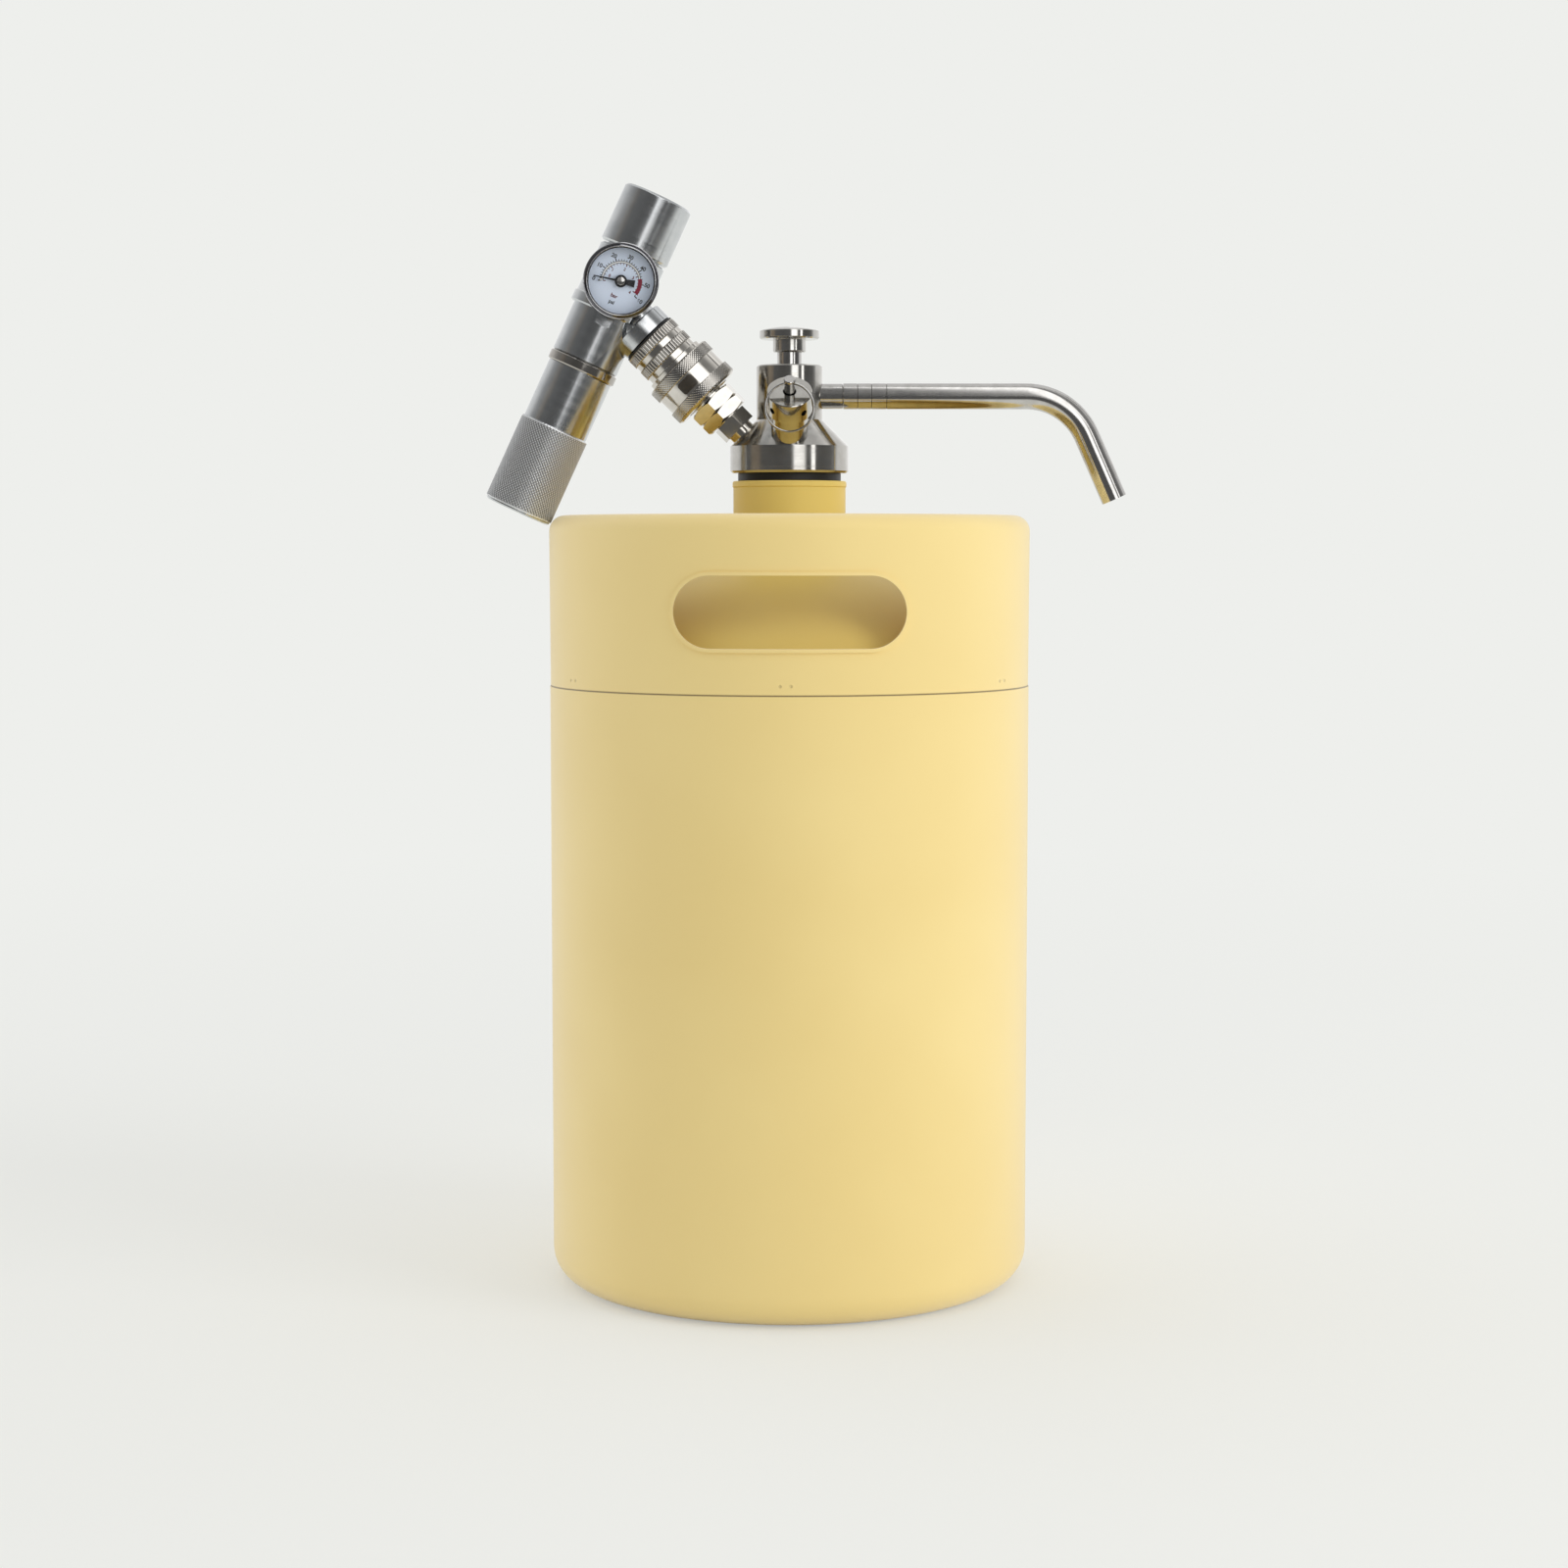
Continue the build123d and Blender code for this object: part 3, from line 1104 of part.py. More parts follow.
with BuildPart() as gauge_case:
    turn(gauge_frame, (gas_bore_r + edge + weld_gap, case_back), (case_r - edge, case_back),
         (case_r, case_back + edge), (case_r, case_front), (case_r - case_wall, case_front),
         (case_r - case_wall, case_back + case_wall),
         (gas_bore_r + edge + weld_gap, case_back + case_wall))
gauge_case.part.label = "gauge_case"
export_step(gauge_case.part, "parts/gauge_case.step")

lens_low = case_front + weld_gap
lens_top = lens_low + lens_t
with BuildPart() as gauge_bezel:
    lip_low = lens_top + weld_gap
    turn(gauge_frame, (case_r + weld_gap, bezel_back), (bezel_r - edge, bezel_back),
         (bezel_r, bezel_back + edge), (bezel_r, bezel_front - 2 * edge),
         (bezel_r - edge, bezel_front - edge / 2), (bezel_r - 2 * edge, bezel_front),
         (bezel_r - 3 * edge, bezel_front), (bezel_open_r, lip_low + edge / 2), (bezel_open_r, lip_low),
         (case_r + weld_gap, lip_low))
gauge_bezel.part.label = "gauge_bezel"
export_step(gauge_bezel.part, "parts/gauge_bezel.step")

with BuildPart() as gauge_lens:
    turn(gauge_frame, (0, lens_low), (case_r - weld_gap, lens_low), (case_r - weld_gap, lens_top),
         (0, lens_top))
gauge_lens.part.label = "gauge_lens"
export_step(gauge_lens.part, "parts/gauge_lens.step")

dial_face = dial_at + dial_t
zero = radians(zero_angle)
with BuildPart() as gauge_dial:
    turn(gauge_frame, (arbor_r + slide_gap, dial_at), (dial_r, dial_at), (dial_r, dial_face),
         (arbor_r + slide_gap, dial_face))
    pin_back = stop_pin_r + pointer_root_w / 2 + face_gap
    pin_shift = degrees(atan2(pin_back, stop_pin_at))
    pin_angle = radians(zero_angle + pin_shift)
    face_plane = Plane(origin=gauge_frame.origin + gauge_frame.y_dir * dial_face,
                       x_dir=gauge_frame.x_dir, z_dir=gauge_frame.y_dir)
    with BuildSketch(face_plane):
        with Locations((stop_pin_at * cos(pin_angle), stop_pin_at * sin(pin_angle))):
            Circle(stop_pin_r)
    extrude(amount=pointer_gap + 2 * pointer_t)
gauge_dial.part.label = "gauge_dial"
export_step(gauge_dial.part, "parts/gauge_dial.step")

bourdon_at = case_back + case_wall + bourdon_tube_r + weld_gap
with BuildPart() as bourdon_tube:
    with BuildSketch(gauge_frame):
        with Locations((bourdon_r, bourdon_at)):
            Circle(bourdon_tube_r)
    revolve(axis=Axis(gauge_frame.origin, gauge_frame.y_dir), revolution_arc=250)
    with BuildSketch(cross_plane(gauge_frame, case_back + case_wall + weld_gap)):
        with Locations((bourdon_r / 2 + gas_bore_r / 2, 0)):
            Rectangle(bourdon_r - gas_bore_r, 2 * bourdon_tube_r)
    extrude(amount=2 * bourdon_tube_r)
    bore(gauge_frame, gas_bore_r + edge + weld_gap, case_back, dial_at)
bourdon_tube.part.label = "bourdon_tube"
export_step(bourdon_tube.part, "parts/bourdon_tube.step")

pointer_low = dial_face + pointer_gap
along_x, along_y = cos(zero), sin(zero)


def dial_point(along, aside):
    """A point of the pointer's outline, from its length along the pointer and its offset."""
    return (along * along_x - aside * along_y, along * along_y + aside * along_x)


with BuildPart() as gauge_pointer:
    with BuildSketch(cross_plane(gauge_frame, pointer_low)) as blade:
        with BuildLine():
            Polyline(dial_point(pointer_long, pointer_tip_w / 2), dial_point(0, pointer_root_w / 2),
                     dial_point(0, pointer_tail_root_w / 2), dial_point(-pointer_tail, pointer_tail_w / 2),
                     dial_point(-pointer_tail, -pointer_tail_w / 2), dial_point(0, -pointer_tail_root_w / 2),
                     dial_point(0, -pointer_root_w / 2), dial_point(pointer_long, -pointer_tip_w / 2),
                     close=True)
        make_face()
    extrude(blade.sketch.faces(), amount=pointer_t)
    turn(gauge_frame, (0, pointer_low - pointer_t), (pointer_hub_r, pointer_low - pointer_t),
         (pointer_hub_r, pointer_low + pointer_hub_t - pointer_t),
         (pointer_hub_r - pointer_t, pointer_low + pointer_hub_t),
         (0, pointer_low + pointer_hub_t))
    turn(gauge_frame, (0, bourdon_at + bourdon_tube_r + face_gap),
         (arbor_r, bourdon_at + bourdon_tube_r + face_gap), (arbor_r, pointer_low), (0, pointer_low))
gauge_pointer.part.label = "gauge_pointer"
export_step(gauge_pointer.part, "parts/gauge_pointer.step")
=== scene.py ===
import json
from math import cos, pi, radians, sin

import bpy
import numpy as np
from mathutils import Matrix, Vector


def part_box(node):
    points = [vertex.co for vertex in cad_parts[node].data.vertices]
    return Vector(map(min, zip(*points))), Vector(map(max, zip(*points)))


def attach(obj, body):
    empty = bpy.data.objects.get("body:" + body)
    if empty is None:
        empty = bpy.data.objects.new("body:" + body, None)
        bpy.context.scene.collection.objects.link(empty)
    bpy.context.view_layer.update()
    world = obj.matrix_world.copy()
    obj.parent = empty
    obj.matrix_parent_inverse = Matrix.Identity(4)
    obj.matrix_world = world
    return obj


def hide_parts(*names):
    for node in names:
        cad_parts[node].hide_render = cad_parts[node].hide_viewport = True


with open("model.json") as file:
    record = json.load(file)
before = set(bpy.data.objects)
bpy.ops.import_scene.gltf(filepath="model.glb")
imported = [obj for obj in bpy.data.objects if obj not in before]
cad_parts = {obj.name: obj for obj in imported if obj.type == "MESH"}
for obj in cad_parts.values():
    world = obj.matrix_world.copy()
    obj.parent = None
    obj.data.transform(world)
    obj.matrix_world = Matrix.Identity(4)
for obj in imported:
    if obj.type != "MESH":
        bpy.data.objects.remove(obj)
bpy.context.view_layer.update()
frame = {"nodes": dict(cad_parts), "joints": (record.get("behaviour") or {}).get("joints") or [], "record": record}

nodes = frame["nodes"]
joints = {joint["name"]: joint for joint in frame["joints"]}
MM = 0.001

# ---- Sizes of the finish, in millimetres, where the frame doesn't give them
fine_round = 0.12        # edge break of turned metal
sheet_round = 0.35       # edge of pressed and coated sheet
holder_grip_r = 12.95    # the knurl of the cartridge holder
holder_diamonds = 65     # round it
holder_diamond_rows = 25
holder_knurl_depth = 0.34
sleeve_grip_r = 13.9     # the two knurled rims of the coupler's sleeve
sleeve_wall_r = 13.2     # the plain wall between them
sleeve_diamonds = 72
sleeve_diamond_rows = 4
sleeve_knurl_depth = 0.30
tail_rib_r = 11.1        # the coupler's ribbed tail
tail_ribs = 52
tail_rib_depth = 0.30
boss_past_ribs = 7.6     # from those ribs to where the regulator's side boss meets its barrel
bezel_bore = 12.95       # the bezel's bore over the gauge case
bezel_face_in = 0.4      # where the bezel's broad face starts, inwards from its outside
bezel_face_width = 0.72
print_rise = 0.03        # of the lowest ink above the dial
ink_step = 0.004         # from one ink to the one over it
dimple_rise = 3.25       # row of weld dimples above the seam
dimple_apart = 3.7
dimple_r = 0.65
dimple_every = 60        # degrees round the keg from one pair to the next
dimple_turn = -1         # degrees by which the row is turned

# ---- How closely the corners of the CAD's meshes are read
at_axis = 0.02           # mm: a corner nearer the axis lies on it
same_wall = 0.02         # mm: corners at one radius or height differ less
cells_per_mm = 50        # corners that share a cell are one corner
cell_shift = 0.37        # keeps round sizes off a cell's edge
same_corner = 2e-6       # m: corners of a CAD mesh that are joined

# ---- Camera: the lens, and the standpoint in millimetres and degrees
lens_mm = 67.9
sensor_mm = 36.0
camera_at = (-2.0, -1091.5, 271.7)
camera_down = 4.63


class Axis:
    """The axis of a turned piece: an origin in millimetres, a direction along it and one across it."""

    def __init__(self, origin, along, across):
        self.origin = np.array(origin, float)
        self.along = np.array(along, float) / np.linalg.norm(along)
        across = np.array(across, float)
        across = across - self.along * across.dot(self.along)
        self.across = across / np.linalg.norm(across)
        self.third = np.cross(self.along, self.across)

    def place(self, radius, angle, height):
        """Points at origin + along * height + radius * (across * cos(angle) + third * sin(angle))."""
        radius, angle, height = np.broadcast_arrays(radius, angle, height)
        return (self.origin + height[..., None] * self.along
                + (radius * np.cos(angle))[..., None] * self.across
                + (radius * np.sin(angle))[..., None] * self.third)

    def measure(self, points):
        """The (radius, height) of points about this axis."""
        rel = points - self.origin
        height = rel @ self.along
        radius = np.linalg.norm(rel - height[:, None] * self.along, axis=1)
        return radius, height


def joint_point(name):
    return np.array(joints[name]["pos_m"]) / MM


upright = Axis((0, 0, 0), (0, 0, 1), (1, 0, 0))
gas_line = Axis(joint_point("regulator_swivel"), joints["regulator_swivel"]["axis"], (1, 0, 1))
relief_line = Axis(joint_point("ring_swing"), joints["relief_pull"]["axis"], (1, 0, 0))
barrel_line = Axis(joint_point("pressure_adjust"), joints["pressure_adjust"]["axis"], (1, 0, 0))
gauge_line = Axis(joint_point("needle_sweep"), -np.array(joints["needle_sweep"]["axis"]),
                  np.cross(barrel_line.along, -np.array(joints["needle_sweep"]["axis"])))


# ---- Surfaces

def node_points(node):
    """The corner points of a CAD node, in millimetres."""
    mesh = nodes[node].data
    points = np.zeros(len(mesh.vertices) * 3, np.float32)
    mesh.vertices.foreach_get("co", points)
    return points.reshape(-1, 3).astype(float) / MM


def node_triangles(node):
    """The corner indices of a CAD node's triangles."""
    mesh = nodes[node].data
    mesh.calc_loop_triangles()
    corners = np.zeros(len(mesh.loop_triangles) * 3, np.int32)
    mesh.loop_triangles.foreach_get("vertices", corners)
    return corners.reshape(-1, 3)


def outline_of(node, axis, rings=16):
    """The half section of a turned CAD node.

    Its points' (radius, height) pairs that form whole rings are the outline's corners, and two of
    them are neighbours where a triangle's edge joins them. An end that is a flat disc is closed at
    the axis. The outline runs anticlockwise, with radius to the right and height up.
    """
    radius, height = axis.measure(node_points(node))
    cells = np.floor(np.stack([radius, height], 1) * cells_per_mm + cell_shift).astype(int)
    _, index, count = np.unique(cells, axis=0, return_inverse=True, return_counts=True)
    index = index.reshape(-1)
    corner = np.stack([np.bincount(index, radius) / count, np.bincount(index, height) / count], 1)
    triangles = index[node_triangles(node)]
    sides = [triangles[:, pair] for pair in ([0, 1], [1, 2], [2, 0])]
    edges = np.sort(np.concatenate(sides), 1)
    edges = edges[edges[:, 0] != edges[:, 1]]
    whole = (count >= rings) | (corner[:, 0] < at_axis)
    edges = np.unique(edges[whole[edges].all(1)], axis=0)
    beside = {}
    for one, other in edges.tolist():
        beside.setdefault(one, []).append(other)
        beside.setdefault(other, []).append(one)
    ends = [key for key, near in beside.items() if len(near) == 1]
    path = [ends[0] if ends else min(beside)]
    while True:
        onward = [key for key in beside[path[-1]] if key not in path]
        if not onward:
            break
        path.append(onward[0])
    outline = corner[path]
    if ends:
        closing = [point for point in (outline[-1], outline[0]) if point[0] > at_axis]
        if len(closing) == 2:
            outline = np.concatenate([[[0, outline[0][1]]], outline, [[0, outline[-1][1]]]])
        elif closing and outline[0][0] > at_axis:
            outline = np.concatenate([[[0, outline[0][1]]], outline])
        elif closing:
            outline = np.concatenate([outline, [[0, outline[-1][1]]]])
    following = np.roll(outline, -1, 0)
    area = (outline[:, 0] * following[:, 1] - following[:, 0] * outline[:, 1]).sum()
    return outline if area > 0 else outline[::-1]


def softened(outline, soft, steps=4, sharp=()):
    """The outline with each sharp corner rounded to a radius of about soft.

    The round is (1 - s) ** 2 * start + 2 * s * (1 - s) * corner + s ** 2 * end for s from 0 to 1,
    with start and end soft * tan(turn / 2) before and after the corner. A point a little further
    out on each side keeps the flats flat. Corners on the axis, corners that turn less than
    least_turn and those near a sharp point stay.
    """
    least_turn = radians(14)
    most_of_edge = 0.4       # the share of an edge that a round may take up
    flat_from = 1.2          # where the flat starts, as a share of the round's reach
    near = 0.1
    result = []
    count = len(outline)
    for i in range(count):
        point = outline[i]
        before, after = outline[i - 1], outline[(i + 1) % count]
        back, on = before - point, after - point
        back_length, on_length = np.linalg.norm(back), np.linalg.norm(on)
        kept = any(np.linalg.norm(point - place) < near for place in sharp)
        if kept or point[0] < at_axis or back_length < 1e-6 or on_length < 1e-6:
            result.append(point)
            continue
        back, on = back / back_length, on / on_length
        turn = pi - np.arccos(np.clip(back.dot(on), -1, 1))
        if turn < least_turn:
            result.append(point)
            continue
        reach = min(soft * np.tan(turn / 2), most_of_edge * back_length, most_of_edge * on_length)
        start, end = point + back * reach, point + on * reach
        share = np.linspace(0, 1, steps + 1)[:, None]
        result.append(point + back * reach * flat_from)
        result.extend((1 - share) ** 2 * start + 2 * share * (1 - share) * point + share ** 2 * end)
        result.append(point + on * reach * flat_from)
    return np.array(result)


def diamonds(low, count_round, pitch, depth):
    """A diamond knurl's change of radius.

    With u = angle * count / 2 pi and v = (height - low) / pitch, the grooves run where u + v or
    u - v is whole. The cut is depth at a groove and rises on both sides to a flat top, which starts
    at flat_from of a diamond.
    """
    flat_from = 0.3

    def cut(angle, height):
        u = angle * count_round / (2 * pi)
        v = (height - low) / pitch
        from_one = np.abs((u + v) - np.round(u + v))
        from_other = np.abs((u - v) - np.round(u - v))
        rise = np.clip(np.minimum(from_one, from_other) / flat_from, 0, 1)
        return -depth * (1 - rise)
    return cut


def ribs(count_round, depth):
    """Straight ribs: the cut is depth * ((1 + cos(angle * count)) / 2) ** roundness."""
    roundness = 1.6

    def cut(angle, height):
        return -depth * (0.5 + 0.5 * np.cos(angle * count_round)) ** roundness
    return cut


def cut_bands(outline, bands):
    """The outline with rows added on its cut bands, and the wave that cuts them.

    A band is (radius, low, high, row step, cut). Its rows lie at even heights from low to high, and
    cut(angle, height), a change of radius, is worked out only for the points on them.
    """
    for radius, low, high, step, cut in bands:
        on = np.abs(outline[:, 0] - radius) < 0.03
        on &= (outline[:, 1] > low - same_wall) & (outline[:, 1] < high + same_wall)
        first, last = np.flatnonzero(on)[[0, -1]]
        rows = np.linspace(low, high, max(2, round((high - low) / step) + 1))
        rows = rows if outline[last, 1] > outline[first, 1] else rows[::-1]
        band = np.stack([np.full(len(rows), radius), rows], 1)
        outline = np.concatenate([outline[:first], band, outline[first:][~on[first:]]])

    def wave(angle, radius, height):
        change = np.zeros_like(radius)
        for band_radius, low, high, step, cut in bands:
            on = np.abs(radius - band_radius) < 1e-6
            on &= (height > low - 1e-6) & (height < high + 1e-6)
            change[on] = cut(angle[on], height[on])
        return change
    return outline, wave


def turned_surface(axis, outline, around=128, wave=None):
    """Points and faces of an outline turned about an axis.

    Row i, column j lies at the outline's point i turned by 2 pi j / around. wave(angle, radius,
    height) gives a change of radius. A point on the axis is one pole that closes the surface.
    """
    angle = np.arange(around) * 2 * pi / around
    radius = np.repeat(outline[:, 0][:, None], around, 1)
    height = np.repeat(outline[:, 1][:, None], around, 1)
    angles = np.repeat(angle[None], len(outline), 0)
    if wave is not None:
        radius = radius + wave(angles, radius, height)
    points = axis.place(radius, angles, height).reshape(-1, 3)
    rows = len(outline)
    on_axis = outline[:, 0] < at_axis
    i = np.arange(rows)[:, None]
    j = np.arange(around)[None]
    after, beside = (i + 1) % rows, (j + 1) % around
    quads = np.stack([i * around + j, i * around + beside, after * around + beside, after * around + j], -1)
    faces = quads[~(on_axis | np.roll(on_axis, -1))].reshape(-1, 4).tolist()
    for row in np.flatnonzero(on_axis):
        pole, onward, behind = row * around, (row + 1) % rows, (row - 1) % rows
        for k in range(around):
            beside = (k + 1) % around
            if not on_axis[onward]:
                faces.append([pole, onward * around + beside, onward * around + k])
            if not on_axis[behind]:
                faces.append([pole, behind * around + k, behind * around + beside])
    return points, faces


def make_piece(name, points, faces, body, material, slot, stands_for=(), smooth=True):
    """A finished piece: a mesh from points in millimetres that rides on a CAD body.

    Points that no face uses, such as the rest of a pole's ring, are left out.
    """
    mesh = bpy.data.meshes.new(name)
    used = np.unique(np.concatenate([np.ravel(face) for face in faces]))
    new_index = np.zeros(len(points), int)
    new_index[used] = np.arange(len(used))
    mesh.from_pydata((points[used] * MM).tolist(), [], [new_index[face].tolist() for face in faces])
    mesh.polygons.foreach_set("use_smooth", np.full(len(mesh.polygons), smooth))
    mesh.materials.append(material)
    mesh.update()
    piece = bpy.data.objects.new(name, mesh)
    bpy.context.scene.collection.objects.link(piece)
    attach(piece, body)
    if stands_for:
        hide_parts(*stands_for)
    return piece


def walls_at(node, axis, radius, rings=16):
    """The (low, high) heights of a turned node's straight walls at a radius, lowest first.

    Walls of 1 mm and less, such as a chamfer's neighbour, are left out.
    """
    outline = outline_of(node, axis, rings)
    after = np.roll(outline, -1, 0)
    on = (np.abs(outline[:, 0] - radius) < same_wall) & (np.abs(after[:, 0] - radius) < same_wall)
    heights = np.sort(np.stack([outline[on, 1], after[on, 1]], 1), 1)
    return sorted(map(tuple, heights[heights[:, 1] - heights[:, 0] > 1.0]))


slot_of = {part["node"]: part["material_slot"] for part in frame["record"]["subparts"]}
bodies = frame["record"]["behaviour"]["bodies"]
body_of = {node: body for body, members in bodies.items() for node in members}


def turned(node, axis, material, soft=fine_round, around=128, bands=(), rings=16):
    """A turned CAD node made again with softened edges and, where given, bands cut into it."""
    sharp = [(band[0], height) for band in bands for height in band[1:3]]
    outline, wave = cut_bands(softened(outline_of(node, axis, rings), soft, sharp=sharp), bands)
    surface = turned_surface(axis, outline, around, wave)
    piece = make_piece(node + "_finish", *surface, body_of[node], material, slot_of[node], (node,))
    if bands:
        mark_grooves(piece, axis, bands)


def mark_grooves(piece, axis, bands):
    """Two attributes of a piece's points, for its material.

    "grip" is 1 on the bands and 0 off them. "groove" is (depth / greatest depth) ** 0.6 on them.
    """
    corners = np.zeros(len(piece.data.vertices) * 3, np.float32)
    piece.data.vertices.foreach_get("co", corners)
    radius, height = axis.measure(corners.reshape(-1, 3) / MM)
    groove, grip = np.zeros(len(radius), np.float32), np.zeros(len(radius), np.float32)
    for band_radius, low, high, step, cut in bands:
        outside = radius > band_radius - 1
        on = outside & (radius < band_radius) & (height > low + 0.01) & (height < high - 0.01)
        below = band_radius - radius[on]
        groove[on] = (below / below.max()) ** 0.6
        grip[outside & (height > low - 0.01) & (height < high + 0.01)] = 1
    for name, values in (("groove", groove), ("grip", grip)):
        piece.data.attributes.new(name, "FLOAT", "POINT").data.foreach_set("value", values)


def dressed(node, material, angle=28):
    """A CAD node that keeps its shape: shared corners, smooth faces and sharp edges past an angle."""
    piece = nodes[node]
    piece.data.polygons.foreach_set("use_smooth", np.full(len(piece.data.polygons), True))
    piece.data.materials.clear()
    piece.data.materials.append(material)
    weld = piece.modifiers.new("join corners", "WELD")
    weld.merge_threshold = same_corner
    split = piece.modifiers.new("sharp edges", "EDGE_SPLIT")
    split.split_angle = radians(angle)


# ---- Materials

class Graph:
    """Short calls for a node tree. A number or tuple goes into a socket, an output is linked to it."""

    def __init__(self, tree):
        self.tree = tree

    def node(self, kind):
        return self.tree.nodes.new("ShaderNode" + kind)

    def link(self, source, target):
        if hasattr(source, "is_output"):
            self.tree.links.new(source, target)
        else:
            target.default_value = source

    def split(self, vector):
        node = self.node("SeparateXYZ")
        self.link(vector, node.inputs[0])
        return node.outputs

    def combine(self, x, y, z=0.0):
        node = self.node("CombineXYZ")
        for value, socket in zip((x, y, z), node.inputs):
            self.link(value, socket)
        return node.outputs[0]

    def math(self, how, one, other=0.0):
        node = self.node("Math")
        node.operation = how
        self.link(one, node.inputs[0])
        self.link(other, node.inputs[1])
        return node.outputs[0]

    def vector(self, how, one, other=(0, 0, 0)):
        node = self.node("VectorMath")
        node.operation = how
        self.link(one, node.inputs[0])
        self.link(other, node.inputs[1])
        return node.outputs["Value" if how in ("DOT_PRODUCT", "LENGTH") else "Vector"]

    def noise(self, where, scale, detail=3.0, rough=0.5, dims="3D"):
        node = self.node("TexNoise")
        node.noise_dimensions = dims
        self.link(where, node.inputs["Vector"])
        node.inputs["Scale"].default_value = scale
        node.inputs["Detail"].default_value = detail
        node.inputs["Roughness"].default_value = rough
        return node.outputs["Fac"]

    def between(self, value, low, high, out_low=0.0, out_high=1.0):
        """value's place between low and high, as a number between out_low and out_high."""
        node = self.node("MapRange")
        self.link(value, node.inputs["Value"])
        for end, number in {"From Min": low, "From Max": high, "To Min": out_low, "To Max": out_high}.items():
            node.inputs[end].default_value = number
        return node.outputs["Result"]

    def blend(self, share, one, other):
        """The colour one where share is 0, other where it is 1."""
        node = self.node("Mix")
        node.data_type = "RGBA"
        self.link(share, node.inputs[0])
        for colour, socket in ((one, node.inputs[6]), (other, node.inputs[7])):
            self.link(colour if hasattr(colour, "is_output") else (*colour, 1.0), socket)
        return node.outputs[2]

    def blend_vectors(self, share, one, other):
        node = self.node("Mix")
        node.data_type = "VECTOR"
        for value, socket in ((share, node.inputs[0]), (one, node.inputs[4]), (other, node.inputs[5])):
            self.link(value, socket)
        return node.outputs[1]

    def rays(self, first, *others):
        """1 for rays of these kinds, such as Camera or Glossy, and 0 for all others."""
        path = self.node("LightPath")
        seen = path.outputs["Is %s Ray" % first]
        for kind in others:
            seen = self.math("MAXIMUM", seen, path.outputs["Is %s Ray" % kind])
        return seen


class Material(Graph):
    """Short calls for a material's nodes. place is a point of the piece, in metres."""

    def __init__(self, name):
        self.material = bpy.data.materials.new(name)
        self.material.use_nodes = True
        super().__init__(self.material.node_tree)
        self.shader = self.tree.nodes["Principled BSDF"]
        self.place = self.node("TexCoord").outputs["Object"]

    def attribute(self, name):
        node = self.node("Attribute")
        node.attribute_name = name
        return node.outputs["Fac"]

    def bump(self, height, depth_mm, strength=1.0, under=None):
        node = self.node("Bump")
        node.inputs["Strength"].default_value = strength
        node.inputs["Distance"].default_value = depth_mm * MM
        self.link(height, node.inputs["Height"])
        if under is not None:
            self.link(under, node.inputs["Normal"])
        return node.outputs[0]

    def set(self, **sockets):
        for name, value in sockets.items():
            flat_colour = isinstance(value, tuple) and len(value) == 3
            self.link((*value, 1.0) if flat_colour else value, self.shader.inputs[name.replace("_", " ")])


groove_shade = (0.03, 0.03, 0.032)    # painted shade at the bottom of a knurl's grooves


def linear(red, green, blue):
    """A screen colour of 0 to 255 as the linear colour that the shader takes."""
    shares = (red / 255, green / 255, blue / 255)
    return tuple(c / 12.92 if c <= 0.04045 else ((c + 0.055) / 1.055) ** 2.4 for c in shares)


def weld_dimples(g):
    """Pairs of small round dents in a row round the keg: 1 at a dent's centre, 0 off it.

    The compass angle is folded into one sector, times the keg's radius it is a length along the
    wall, and the two dents lie either side of the sector's middle.
    """
    low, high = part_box("collar")
    x, y, z = g.split(g.place)
    half = dimple_every / 2
    compass = g.math("ARCTAN2", x, g.math("MULTIPLY", y, -1.0))
    angle = g.math("ADD", compass, radians(360 + half - dimple_turn))
    sector = g.math("SUBTRACT", g.math("MODULO", angle, radians(dimple_every)), radians(half))
    aside = g.math("ABSOLUTE", g.math("MULTIPLY", sector, high[0]))
    across = g.math("SUBTRACT", aside, dimple_apart / 2 * MM)
    upward = g.math("SUBTRACT", z, low[2] + dimple_rise * MM)
    away = g.vector("LENGTH", g.combine(across, upward))
    return g.between(away, 0.2 * MM, dimple_r * MM, 1.0, 0.0)


def inside_of_collar(g):
    """1 on the collar's inner wall below its rolled rim, which is painted darker and more saturated as shade, and
    0 outside.
    """
    low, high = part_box("collar")
    x, y, z = g.split(g.place)
    inner = g.between(g.vector("LENGTH", g.combine(x, y)), high[0] - 0.9 * MM, high[0] - 0.4 * MM, 1.0, 0.0)
    return g.math("MULTIPLY", inner, g.between(z, high[2] - 8 * MM, high[2] - 6 * MM, 1.0, 0.0))


def seam_dust(g):
    """Painted shade along the seam: 1 in the fine gap between collar and wall, fading out 0.4 mm above and below
    it.
    """
    away = g.math("ABSOLUTE", g.math("SUBTRACT", g.split(g.place)[2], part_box("collar")[0][2]))
    return g.between(away, 0.12 * MM, 0.4 * MM, 1.0, 0.0)


